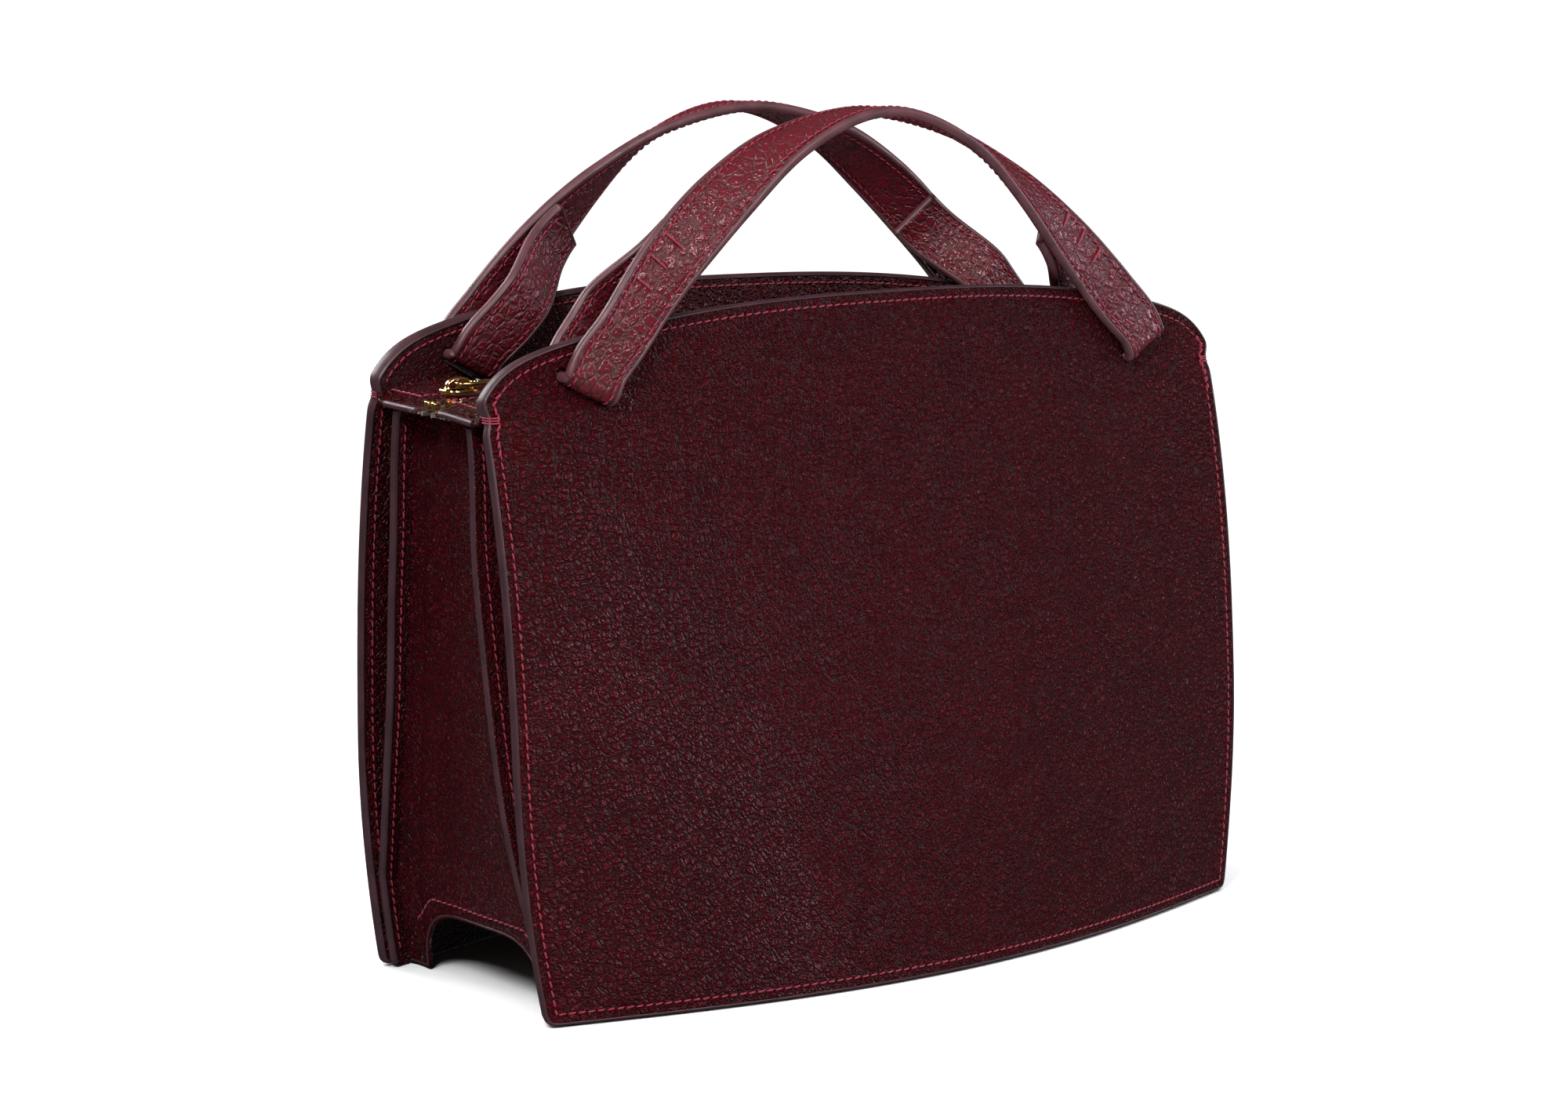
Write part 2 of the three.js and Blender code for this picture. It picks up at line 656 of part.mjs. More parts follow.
// ---- assembly -----------------------------------------------------------------------------
for (const side of [-1, 1]) {
  const name = side < 0 ? 'front' : 'back';
  const panel = cut(faceSheet(side, 0, LEATHER, 0, 24, 16), ...slots(side));
  add(`${name}_outer_panel`, panel, 'leather');
  const lining = cut(faceSheet(side, LEATHER + GAP, LINING, 0.6, 24, 16), ...slots(side));
  add(`${name}_panel_lining`, lining, 'suede');
  add(`${name}_zip_facing`, cut(headFacing(side), ...slots(side)), 'leather');
  add(`${name}_inner_panel`, innerPanel(side), 'leather');
  add(`${name}_compartment_lining`, compartmentLining(side), 'fabric');
  add(`${name}_zip_tape`, zipTape(side), 'tape');
  add(`${name}_zip_teeth`, zipTeeth(side), 'gold');
  const stop = block(STOP_L, STOP_W, TEETH_T, TOP_STOP_X, ZIP_Y + side * STOP_OFF, TEETH_Z + TEETH_T / 2);
  add(`${name}_zip_top_stop`, stop, 'gold');
  add(`${name}_handle_strap`, handleLayer(side, 0, STRAP_OUTER), 'strap');
  add(`${name}_handle_lining`, handleLayer(side, STRAP_OUTER + GAP, STRAP_UNDER), 'strap');
}
add('left_gusset', gusset(-1), 'leather');
add('right_gusset', gusset(1), 'leather');
add('bottom_panel', floorPanel(), 'leather');
add('base_board', baseBoard(), 'board');
add('slip_pocket', slipPocket(), 'fabric');
add('zip_slider', zipSlider(), 'gold');
add('zip_puller', zipPuller(), 'gold');
const endStop = block(END_STOP_L, STOP_W, TEETH_T, END_STOP_X, ZIP_Y + STOP_OFF, TEETH_Z + TEETH_T / 2);
add('zip_bottom_stop', endStop, 'gold');

export default bag;
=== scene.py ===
"""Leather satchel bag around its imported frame.

Lengths are millimetres, except in the studio, the camera and the bend between the halves, which
are in metres.
"""

import math

import bmesh
import bpy
import numpy as np
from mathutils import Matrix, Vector


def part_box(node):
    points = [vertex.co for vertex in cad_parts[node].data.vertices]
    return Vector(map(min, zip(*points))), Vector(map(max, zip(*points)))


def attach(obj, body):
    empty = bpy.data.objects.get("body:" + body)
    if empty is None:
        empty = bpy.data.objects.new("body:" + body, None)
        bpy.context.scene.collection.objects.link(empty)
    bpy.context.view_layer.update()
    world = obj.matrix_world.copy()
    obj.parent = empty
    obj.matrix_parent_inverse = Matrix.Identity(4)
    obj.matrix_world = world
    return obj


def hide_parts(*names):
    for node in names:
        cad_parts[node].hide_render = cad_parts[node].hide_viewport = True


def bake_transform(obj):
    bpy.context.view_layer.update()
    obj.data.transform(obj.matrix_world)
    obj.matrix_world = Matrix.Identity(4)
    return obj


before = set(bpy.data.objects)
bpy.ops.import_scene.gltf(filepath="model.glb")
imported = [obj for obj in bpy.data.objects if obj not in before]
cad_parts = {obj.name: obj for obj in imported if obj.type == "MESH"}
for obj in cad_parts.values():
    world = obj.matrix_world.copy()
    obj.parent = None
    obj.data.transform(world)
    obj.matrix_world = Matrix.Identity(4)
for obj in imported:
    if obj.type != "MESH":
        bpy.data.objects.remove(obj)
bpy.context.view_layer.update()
MM = 0.001
SIDES = {"front": -1, "back": 1}
BODY = {"front": "front_half", "back": "body"}

# ---- dimensions shared with the frame ------------------------------------------------------
HALF_W_BOTTOM, HALF_W_NOTCH = 157.0, 164.7
BELLY_Z, NOTCH_Z = 85.0, 205.0
HALF_D_BOTTOM, HALF_D_NOTCH, DEPTH_POWER = 53.5, 38.0, 3.4
HEAD_LEAN, HEAD_EASE = 0.07, 3.0
BOW_BOTTOM, BOW_NOTCH, BOW_POWER = 32.0, 12.0, 1.2
CROWN_Z, CROWN_DROP, CROWN_POWER = 240.7, 19.7, 2.6
SHOULDER_DROP, SHOULDER_POWER = 9.5, 22
CORNER_R = 3.0
GAP, LEATHER, LINING, INNER, FABRIC = 0.3, 2.0, 1.6, 1.6, 0.8
POCKET_FRONT, POCKET_BACK = (17.7, 32.0, 150.0, 0.4), (12.4, 34.0, 120.0, 0.3)
POCKET_TURNS_Z, BOW_KEPT = 150.0, 0.65
INNER_INSET, FLANGE, GUSSET_SAG = 2.5, 9.0, 2.5
INNER_TOP_Z, GUSSET_TOP_Z = 204.6, 200.6
ARCH_Z, FOOT_W = 21.0, 13.0
ZIP_Y, FLAP_TOP_Z, FLAP_T, FLAP_TO_ZIP = 0.0, 207.6, 1.6, 6.0
SLOT_X, SLOT_Z, SLOT_TILT, SLOT_L, SLOT_H = 126.0, 213.5, math.radians(28), 24.5, 5.2
STRAP_W, STRAP_OUTER, STRAP_UNDER = 22.0, 1.9, 1.4
STRAP_T = STRAP_OUTER + GAP + STRAP_UNDER
HANDLE_TOP_Z, HANDLE_Y, FACE_SLOPE = 303.0, 43.5, 0.1
HANDLE_LEAN, LEAN_FULL_Z = {-1: 4.0, 1: -2.0}, 258.0
TAIL_L, FOLD_R, LOOP_BULGE, LEG_CLEAR, TAIL_CLEAR = 66.0, 2.0, 5.0, 1.2, 2.2
FACE_T = LEATHER + GAP + LINING
HEAD_T = LEATHER + LINING + FLAP_T + 2 * GAP
FLOOR_Z, BOTTOM_T = 26.0, 1.8


def lerp(a, b, t):
    return a + (b - a) * t


def smooth(x, a, b):
    t = np.clip((np.asarray(x, float) - a) / (b - a), 0, 1)
    return t * t * (3 - 2 * t)


def side_half_width(z):
    return lerp(HALF_W_NOTCH, HALF_W_BOTTOM, (1 - np.minimum(1, np.asarray(z, float) / BELLY_Z)) ** 2)


def corner_inset(z):
    k = np.clip(1 - np.asarray(z, float) / CORNER_R, 0, 1)
    return CORNER_R * (1 - np.sqrt(1 - k * k))


def half_width(z):
    return side_half_width(z) - corner_inset(z)


def half_depth(x, z):
    z = np.asarray(z, float)
    k = np.clip(z / NOTCH_Z, 0, 1)
    above = np.maximum(0, z - NOTCH_Z)
    slope = (HALF_D_BOTTOM - HALF_D_NOTCH) * DEPTH_POWER / NOTCH_Z - HEAD_LEAN
    lean = HEAD_LEAN * above + slope * HEAD_EASE * (1 - np.exp(-above / HEAD_EASE))
    edge = lerp(HALF_D_BOTTOM, HALF_D_NOTCH, k**DEPTH_POWER) - lean
    bow = lerp(BOW_BOTTOM, BOW_NOTCH, k)
    return edge + bow * (1 - np.minimum(1, np.abs(x) / HALF_W_NOTCH) ** 2) ** BOW_POWER


def crown(u):
    a = np.abs(u)
    return CROWN_Z - CROWN_DROP * a**CROWN_POWER - SHOULDER_DROP * a**SHOULDER_POWER


def pocket_gap(side, z):
    most, floor, full, closes = POCKET_FRONT if side < 0 else POCKET_BACK
    opened = 1 - (1 - np.clip((np.asarray(z, float) - floor) / (full - floor), 0, 1)) ** 2
    return most * opened * (1 - closes * smooth(z, POCKET_TURNS_Z, NOTCH_Z))


def inner_half_width(z):
    return half_width(z) - INNER_INSET


def web_x(z):
    return side_half_width(z) - INNER_INSET - FLANGE


def inner_y(side, x, z, extra):
    flat = half_depth(HALF_W_NOTCH, z)
    kept = (half_depth(x, z) - flat) * lerp(1, BOW_KEPT, smooth(z, POCKET_FRONT[1], NOTCH_Z))
    return side * (flat + kept - (FACE_T + GAP + pocket_gap(side, z)) - extra)


# ---- materials -----------------------------------------------------------------------------
class Nodes:
    """A node tree with short calls for the nodes that the materials share."""

    def __init__(self, name):
        self.material = bpy.data.materials.new(name)
        self.material.use_nodes = True
        self.tree = self.material.node_tree
        self.shader = self.tree.nodes["Principled BSDF"]

    def add(self, kind, values=None, **settings):
        node = self.tree.nodes.new(kind)
        for key, value in settings.items():
            setattr(node, key, value)
        for key, value in (values or {}).items():
            if isinstance(value, bpy.types.NodeSocket):
                self.tree.links.new(value, node.inputs[key])
            else:
                node.inputs[key].default_value = value
        return node

    def math(self, operation, a, b=None):
        values = {0: a} if b is None else {0: a, 1: b}
        return self.add("ShaderNodeMath", values, operation=operation).outputs[0]

    def vector(self, operation, a, b):
        return self.add("ShaderNodeVectorMath", {0: a, 1: b}, operation=operation).outputs[0]

    def scaled(self, vector, factor):
        return self.add("ShaderNodeVectorMath", {0: vector, "Scale": factor}, operation="SCALE").outputs[0]

    def step(self, value, low, high, to_low=0.0, to_high=1.0):
        values = {"Value": value, "From Min": low, "From Max": high, "To Min": to_low, "To Max": to_high}
        return self.add("ShaderNodeMapRange", values, interpolation_type="SMOOTHSTEP").outputs["Result"]

    def noise(self, vector, scale, detail=2.0, rough=0.5):
        values = {"Vector": vector, "Scale": scale, "Detail": detail, "Roughness": rough}
        return self.add("ShaderNodeTexNoise", values, noise_dimensions="3D")

    def cells(self, vector, scale):
        values = {"Vector": vector, "Scale": scale}
        node = self.add("ShaderNodeTexVoronoi", values, feature="DISTANCE_TO_EDGE", voronoi_dimensions="3D")
        return node.outputs["Distance"]

    def mix(self, factor, a, b):
        node = self.add("ShaderNodeMix", data_type="RGBA")
        for socket, value in ((node.inputs[0], factor), (node.inputs[6], a), (node.inputs[7], b)):
            if isinstance(value, bpy.types.NodeSocket):
                self.tree.links.new(value, socket)
            else:
                socket.default_value = value
        return node.outputs[2]

    def uv(self):
        return self.add("ShaderNodeUVMap", uv_map="UVMap").outputs[0]

    def link(self, value, socket):
        self.tree.links.new(value, self.shader.inputs[socket])

    def bump(self, height, depth_mm):
        values = {"Height": height, "Distance": depth_mm * MM, "Strength": 1.0}
        self.link(self.add("ShaderNodeBump", values).outputs[0], "Normal")


def rgb(r, g, b):
    return (r, g, b, 1.0)


def shaded(color, factor):
    return tuple(factor * c for c in color[:3]) + (1.0,)


def leather(name, color, crease, cell, depth, roughness, gloss):
    """Pebbled leather: warped cells with creases between them, painted shade in the creases, finer cells
    inside, random mottling, and burnished edges.
    """
    n = Nodes(name)
    uv = n.uv()
    per_m = 1000.0 / cell
    drift = n.vector("SUBTRACT", n.noise(uv, per_m * 0.45, 3.0).outputs["Color"], (0.5, 0.5, 0.5))
    warped = n.vector("ADD", uv, n.scaled(drift, 0.0012 * cell))
    large = n.step(n.cells(warped, per_m), 0.0, 0.2)
    small = n.step(n.cells(warped, per_m * 2.1), 0.0, 0.3)
    patches = n.noise(uv, 26.0, 3.0).outputs["Fac"]
    lumps = n.noise(uv, per_m * 0.55, 2.0).outputs["Fac"]
    fine = n.noise(uv, per_m * 7.0, 3.0, 0.6).outputs["Fac"]
    strong = n.step(patches, 0.3, 0.7, 0.6, 1.15)
    height = n.math("ADD", n.math("MULTIPLY", large, strong), n.math("MULTIPLY", small, 0.45))
    height = n.math("ADD", height, n.math("MULTIPLY", fine, 0.15))
    n.bump(n.math("ADD", height, lumps), depth)
    wear = n.add("ShaderNodeAttribute", attribute_name="wear").outputs["Fac"]
    # painted shade: the creases between the cells take the darker crease colour, which also mottles the
    # leather at random below
    tone_with_painted_shade = n.mix(n.step(large, 0.0, 0.7), crease, color)
    mottled = n.mix(n.step(n.noise(uv, 60.0, 4.0).outputs["Fac"], 0.35, 0.7, 0.0, 0.4), tone_with_painted_shade, crease)
    n.link(n.mix(n.math("MULTIPLY", wear, 0.4), mottled, shaded(color, 0.55)), "Base Color")
    dull = n.step(large, 0.0, 1.0, roughness + 0.25, roughness)
    uneven = n.step(patches, 0.25, 0.75, -0.04, 0.06)
    n.link(n.math("ADD", dull, uneven), "Roughness")
    n.shader.inputs["Specular IOR Level"].default_value = gloss
    return n.material


def edge_paint(name, color):
    """Painted leather edge: thick satin paint with faint brush marks along it."""
    n = Nodes(name)
    uv = n.uv()
    along = n.vector("MULTIPLY", uv, (0.12, 1.0, 1.0))
    marks = n.noise(along, 1600.0, 3.0).outputs["Fac"]
    cloud = n.noise(uv, 90.0, 3.0).outputs["Fac"]
    n.link(n.mix(n.step(cloud, 0.3, 0.75), color, shaded(color, 0.6)), "Base Color")
    n.link(n.step(marks, 0.2, 0.8, 0.36, 0.5), "Roughness")
    n.bump(n.math("ADD", marks, n.math("MULTIPLY", cloud, 1.5)), 0.05)
    n.shader.inputs["Specular IOR Level"].default_value = 0.5
    return n.material


def thread(name, color):
    """Twisted thread: plies that run round the stitch as diagonal bands, with painted shade in the grooves
    between them.
    """
    n = Nodes(name)
    split = n.add("ShaderNodeSeparateXYZ", {0: n.uv()})
    turns = n.math("ADD", n.math("MULTIPLY", split.outputs[0], 1500.0), split.outputs[1])
    ply = n.math("ABSOLUTE", n.math("SINE", n.math("MULTIPLY", turns, math.pi)))
    # painted shade: the grooves between the plies are darker
    n.link(n.mix(n.step(ply, 0.0, 0.6), shaded(color, 0.35), color), "Base Color")
    n.bump(ply, 0.12)
    n.shader.inputs["Roughness"].default_value = 0.5
    n.shader.inputs["Sheen Weight"].default_value = 0.1
    return n.material


def woven(name, color, pitch, contrast=0.55, twill=0.0):
    """Plain or twill cloth: two sets of yarns crossing at the pitch, with painted shade between the yarns and
    random darker slubs.
    """
    n = Nodes(name)
    split = n.add("ShaderNodeSeparateXYZ", {0: n.uv()})
    turn = math.pi * 1000.0 / pitch
    u = n.math("MULTIPLY", split.outputs[0], turn)
    v = n.math("ADD", n.math("MULTIPLY", split.outputs[1], turn), n.math("MULTIPLY", u, twill))
    weave = n.math("MULTIPLY", n.math("SINE", u), n.math("SINE", v))
    height = n.math("ABSOLUTE", weave)
    slub = n.noise(n.uv(), 1500.0, 2.0).outputs["Fac"]
    # darker colour: painted shade where the yarns dip between crossings, and the random slubs
    weave_shade_and_slub = shaded(color, contrast)
    tone_with_painted_shade = n.mix(n.step(height, 0.05, 0.8), weave_shade_and_slub, color)
    n.link(n.mix(n.step(slub, 0.3, 0.8, 0.0, 0.5), tone_with_painted_shade, weave_shade_and_slub), "Base Color")
    n.bump(n.math("ADD", height, n.math("MULTIPLY", slub, 0.4)), 0.16)
    n.shader.inputs["Roughness"].default_value = 0.85
    n.shader.inputs["Sheen Weight"].default_value = 0.25
    return n.material


def gold(name):
    """Polished gold plate with hairline scratches and faint tarnish."""
    n = Nodes(name)
    place = n.add("ShaderNodeTexCoord").outputs["Object"]
    cloud = n.noise(place, 260.0, 4.0).outputs["Fac"]
    hairs = n.noise(n.vector("MULTIPLY", place, (300.0, 5000.0, 5000.0)), 1.0, 2.0).outputs["Fac"]
    n.link(n.mix(n.step(cloud, 0.45, 0.8), rgb(0.93, 0.62, 0.24), rgb(0.72, 0.42, 0.14)), "Base Color")
    n.link(n.step(cloud, 0.2, 0.9, 0.1, 0.24), "Roughness")
    n.bump(hairs, 0.012)
    n.shader.inputs["Metallic"].default_value = 1.0
    return n.material


# The crease colours are painted shade in the grain's creases, and also the colour of the random mottling.
OXBLOOD = rgb(0.05, 0.0021, 0.004)
OXBLOOD_CREASE_SHADE_AND_MOTTLE = rgb(0.024, 0.0009, 0.0018)
STRAP_RED = rgb(0.1, 0.0065, 0.0125)
STRAP_CREASE_SHADE_AND_MOTTLE = rgb(0.055, 0.003, 0.006)
MATERIALS = {
    "leather": leather("pebbled_leather", OXBLOOD, OXBLOOD_CREASE_SHADE_AND_MOTTLE, 2.4, 1.5, 0.12, 0.19),
    "coarse": leather("coarse_leather", OXBLOOD, OXBLOOD_CREASE_SHADE_AND_MOTTLE, 2.8, 1.2, 0.15, 0.24),
    "strap": leather("creased_strap_leather", STRAP_RED, STRAP_CREASE_SHADE_AND_MOTTLE, 3.4, 0.32, 0.24, 0.5),
    "edge": edge_paint("painted_edge", rgb(0.042, 0.014, 0.019)),
    # a lighter copy of the edge paint for the straps: painted light, as the straps sit in brighter light
    "lit_strap_edge": edge_paint("painted_strap_edge", rgb(0.095, 0.03, 0.037)),
    "thread": thread("crimson_thread", rgb(0.26, 0.006, 0.032)),
    "tape": woven("woven_zip_tape", rgb(0.075, 0.034, 0.026), 0.9),
    "cloth": woven("cotton_lining", rgb(0.16, 0.035, 0.05), 0.7, 0.6),
    "board": woven("covered_board", rgb(0.14, 0.03, 0.045), 1.0, 0.6, 1.0),
    "gold": gold("gold_plate"),
}


# ---- mesh helpers --------------------------------------------------------------------------
TWIST, TWIST_LOW_Z = 2.3, 60.0


def twisted(points):
    """The worn bag's left end is twisted: its front stands a little lower and its back a little higher."""
    x, y, z = points.T
    lift = TWIST * np.clip(y / HALF_D_NOTCH, -1.1, 1.1) * (1 - x / HALF_W_NOTCH) / 2
    return np.stack([x, y, z + lift * smooth(z, TWIST_LOW_Z, NOTCH_Z)], -1)


def piece(name, points, faces, finish, uv=None, wear=None):
    """A mesh object from points in millimetres, turned to face out, with its uv in metres."""
    points = twisted(np.asarray(points, float))
    tris = np.array([(f[0], f[k], f[k + 1]) for f in faces for k in range(1, len(f) - 1)])
    a, b, c = (points[tris[:, k]] for k in range(3))
    if np.einsum("ij,ij->i", a, np.cross(b, c)).sum() < 0:
        faces = [tuple(reversed(f)) for f in faces]
    mesh = bpy.data.meshes.new(name)
    mesh.from_pydata((points * MM).tolist(), [], [tuple(int(i) for i in f) for f in faces])
    mesh.update()
    if uv is not None:
        corner = np.empty(len(mesh.loops), np.int64)
        mesh.loops.foreach_get("vertex_index", corner)
        layer = mesh.uv_layers.new(name="UVMap")
        layer.data.foreach_set("uv", (np.asarray(uv, float)[corner] * MM).ravel().astype(np.float32))
    if wear is not None:
        data = mesh.attributes.new("wear", "FLOAT", "POINT").data
        data.foreach_set("value", np.asarray(wear, np.float32).ravel())
    mesh.materials.append(MATERIALS[finish])
    mesh.shade_smooth()
    obj = bpy.data.objects.new(name, mesh)
    bpy.context.scene.collection.objects.link(obj)
    return obj


def place(obj, body, *nodes):
    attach(obj, body)
    if nodes:
        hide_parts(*nodes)
    return obj


def grid_ids(rows, cols, base=0):
    return base + np.arange(rows * cols).reshape(rows, cols)


def grid_quads(ids):
    a, b, c, d = ids[:-1, :-1], ids[:-1, 1:], ids[1:, 1:], ids[1:, :-1]
    return [tuple(q) for q in np.stack([a, b, c, d], -1).reshape(-1, 4)]


def tube_faces(ids, capped=True):
    """Quads round a stack of rings, and a cap on each end."""
    faces = grid_quads(np.concatenate([ids, ids[:, :1]], 1))
    return faces + [tuple(ids[0]), tuple(reversed(ids[-1]))] if capped else faces


def rim_loop(ids):
    return np.concatenate([ids[0, :-1], ids[:-1, -1], ids[-1, :0:-1], ids[:0:-1, 0]])


def sheet_mesh(outer, inner, uv, bulge=0.35):
    """Points, faces and uv of a closed sheet between two grids, with a rounded rim."""
    rows, cols = outer.shape[:2]
    top, low = grid_ids(rows, cols), grid_ids(rows, cols, rows * cols)
    faces = grid_quads(top) + [tuple(reversed(f)) for f in grid_quads(low)]
    middle = (outer + inner) / 2
    out = np.zeros_like(middle)
    out[0] += middle[0] - middle[1]
    out[-1] += middle[-1] - middle[-2]
    out[:, 0] += middle[:, 0] - middle[:, 1]
    out[:, -1] += middle[:, -1] - middle[:, -2]
    length = np.linalg.norm(out, axis=-1, keepdims=True)
    out = out / np.maximum(length, 1e-9)
    thick = np.linalg.norm(outer - inner, axis=-1, keepdims=True)
    ring = rim_loop(top)
    rim = (middle + out * thick * bulge).reshape(-1, 3)[ring]
    base = 2 * rows * cols
    m = len(ring)
    low_ring = rim_loop(low)
    for i in range(m):
        k = (i + 1) % m
        faces.append((ring[k], ring[i], base + i, base + k))
        faces.append((base + k, base + i, low_ring[i], low_ring[k]))
    flat = uv.reshape(-1, 2)
    points = np.concatenate([outer.reshape(-1, 3), inner.reshape(-1, 3), rim])
    return points, faces, np.concatenate([flat, flat, flat[ring]])


def unit(v):
    return v / np.maximum(np.linalg.norm(v, axis=-1, keepdims=True), 1e-9)


def tangents(path, closed=False):
    if closed:
        return unit(np.roll(path, -1, 0) - np.roll(path, 1, 0))
    ahead = np.concatenate([path[1:], path[-1:]])
    behind = np.concatenate([path[:1], path[:-1]])
    return unit(ahead - behind)


def lengths(path):
    return np.concatenate([[0], np.cumsum(np.linalg.norm(np.diff(path, axis=0), axis=1))])


def resample(path, step, closed=False):
    if closed:
        path = np.concatenate([path, path[:1]])
    along = lengths(path)
    count = max(2, int(round(along[-1] / step)) + 1)
    at = np.linspace(0, along[-1], count)
    out = np.stack([np.interp(at, along, path[:, k]) for k in range(path.shape[1])], -1)
    return out[:-1] if closed else out


def sweep_mesh(path, across, normal, section, closed=False):
    """A closed skin: the section's points (across, along the normal) carried along the path.
    section is one outline for the whole path, or one for each of its points."""
    n = len(path)
    section = np.broadcast_to(section, (n,) + np.shape(section)[-2:])
    m = section.shape[1]
    rings = path[:, None] + across[:, None] * section[..., :1] + normal[:, None] * section[..., 1:]
    ids = grid_ids(n, m)
    faces = tube_faces(np.concatenate([ids, ids[:1]]), False) if closed else tube_faces(ids)
    uv = np.stack(np.broadcast_arrays(lengths(path)[:, None], lengths(section[0])[None]), -1)
    return rings.reshape(-1, 3), faces, uv.reshape(-1, 2)


def joined(parts):
    """One mesh from several (points, faces, uv)."""
    points, faces, uvs, base = [], [], [], 0
    for p, f, t in parts:
        points.append(p)
        uvs.append(t)
        faces += [tuple(i + base for i in q) for q in f]
        base += len(p)
    return np.concatenate(points), faces, np.concatenate(uvs)


STITCH_L, STITCH_PITCH, THREAD_R = 2.7, 3.4, 0.32


def stitch_row(path, normal, pitch=STITCH_PITCH, length=STITCH_L, radius=THREAD_R, slant=0.12, closed=False):
    """Stitches along a path on a surface whose normals are given: each dips at its ends."""
    if closed:
        path = np.concatenate([path, path[:1]])
        normal = np.concatenate([normal, normal[:1]])
    along = lengths(path)
    count = max(1, int(round(along[-1] / pitch)))
    step = along[-1] / count
    look = lambda s, v: np.stack([np.interp(s, along, v[:, k]) for k in range(3)], -1)
    stations, sides = 7, 6
    t = np.linspace(-1, 1, stations)
    rise = 0.30 - 0.62 * np.abs(t) ** 3
    swell = np.sqrt(np.clip(1 - np.abs(t) ** 6, 0.12, 1))
    s = (np.arange(count) + 0.5) * step
    at = s[:, None] + t * length * (step / pitch) / 2
    centre = look(at, path)
    up = unit(look(at, normal))
    ahead = unit(look(s + 0.4, path) - look(s - 0.4, path))[:, None]
    side = unit(np.cross(up, ahead))
    centre = centre + up * rise[None, :, None] * radius * 1.6
    centre = centre + side * (slant * t)[None, :, None] * length * 0.5
    angle = (np.arange(sides) * 2 * math.pi / sides)[None, None, :, None]
    ring = np.cos(angle) * side[:, :, None] + np.sin(angle) * up[:, :, None]
    points = centre[:, :, None] + ring * (radius * swell)[None, :, None, None]
    faces = []
    for i in range(count):
        base = i * stations * sides
        ids = grid_ids(stations, sides, base)
        faces += tube_faces(ids)
    u = np.broadcast_to(at[:, :, None], points.shape[:3])
    v = np.broadcast_to((np.arange(sides) / sides * 1000)[None, None], points.shape[:3])
    return points.reshape(-1, 3), faces, np.stack([u, v], -1).reshape(-1, 2)


def placed(name, mesh, finish, body, *nodes):
    """A piece made of (points, faces, uv) that rides on one body and stands for the nodes named."""
    points, faces, uv = mesh
    return place(piece(name, points, faces, finish, uv), body, *nodes)


def stitching(name, body, rows):
    placed(name, joined(rows), "thread", body)


def ripple(a, b, seed, wave):
    """Smooth unevenness between about -1 and 1, from a few waves in fixed random directions."""
    dice = np.random.RandomState(seed)
    total = 0.0
    for _ in range(6):
        turn, shift, stretch = dice.uniform(0, 2 * math.pi, 2).tolist() + [dice.uniform(0.7, 1.6)]
        k = 2 * math.pi / (wave * stretch)
        total = total + np.sin(k * (a * math.cos(turn) + b * math.sin(turn)) + shift)
    return total / 3.2


def spread(count, fine, low, high):
    """Positions from low to high that lie closer together at both ends."""
    t = np.linspace(-1, 1, count)
    t = np.sign(t) * (1 - (1 - np.abs(t)) ** fine)
    return lerp(low, high, (t + 1) / 2)


def softened(path, times):
    """An open path with its corners eased and its ends kept."""
    for _ in range(times):
        path[1:-1] = (path[:-2] + 2 * path[1:-1] + path[2:]) / 4
    return path


# ---- outer faces ---------------------------------------------------------------------------
STITCH_IN = 4.2
NOTCH_PINCH = 1.5


def seen_half_width(z):
    return half_width(z) - NOTCH_PINCH * np.exp(-(((np.asarray(z, float) - NOTCH_Z) / 2.4) ** 2))


def crown_slope(x):
    a = np.abs(x) / HALF_W_NOTCH
    rise = CROWN_DROP * CROWN_POWER * a ** (CROWN_POWER - 1)
    rise = rise + SHOULDER_DROP * SHOULDER_POWER * a ** (SHOULDER_POWER - 1)
    return rise / HALF_W_NOTCH


def from_edge(x, z):
    """About how far a point of a face lies inside the face's outline."""
    side = seen_half_width(z) - np.abs(x)
    a = np.minimum(np.abs(x) / HALF_W_NOTCH, 1)
    top = (crown(a) - z) / np.sqrt(1 + crown_slope(x) ** 2)
    return np.maximum(0, np.minimum(np.minimum(side, top), z))


def face_normal(side, x, z):
    step = 0.5
    dx = (half_depth(x + step, z) - half_depth(x - step, z)) / (2 * step)
    dz = (half_depth(x, z + step) - half_depth(x, z - step)) / (2 * step)
    dx, dz = np.broadcast_arrays(dx, dz)
    return unit(np.stack([-dx, np.full(dx.shape, float(side)), -dz], -1))


def slot_distance(x, z):
    """Distance from the nearest strap slot's long line."""
    best = np.full(np.broadcast(x, z).shape, 1e3)
    for end in (-1, 1):
        dx, dz = x - end * SLOT_X, z - SLOT_Z
        along = dx * math.cos(SLOT_TILT) + end * dz * math.sin(SLOT_TILT)
        off = -end * dx * math.sin(SLOT_TILT) + dz * math.cos(SLOT_TILT)
        beyond = np.maximum(0, np.abs(along) - SLOT_L / 2)
        best = np.minimum(best, np.hypot(beyond, off))
    return best


def face_swell(side, x, z):
    """How far the leather stands off the plain curved face: rolled edge, stitch valley, soft waves."""
    edge = from_edge(x, z)
    roll = -0.45 * (1 - smooth(edge, 0, 2.2))
    valley = -0.34 * np.exp(-(((edge - STITCH_IN) / 1.05) ** 2))
    inside = smooth(edge, 5, 30)
    waves = inside * (0.55 * ripple(x, z, 3 + side, 95) + 0.16 * ripple(x, z, 11 + side, 34))
    pucker = -0.7 * np.exp(-((slot_distance(x, z) / 6.0) ** 2))
    return roll + valley + waves + pucker


def face_point(side, x, z, depth, swell=1.0):
    lift = swell * face_swell(side, x, z) - depth
    base = np.stack(np.broadcast_arrays(x, side * half_depth(x, z), z), -1)
    n = face_normal(side, x, z)
    return base + n * np.asarray(lift)[..., None]


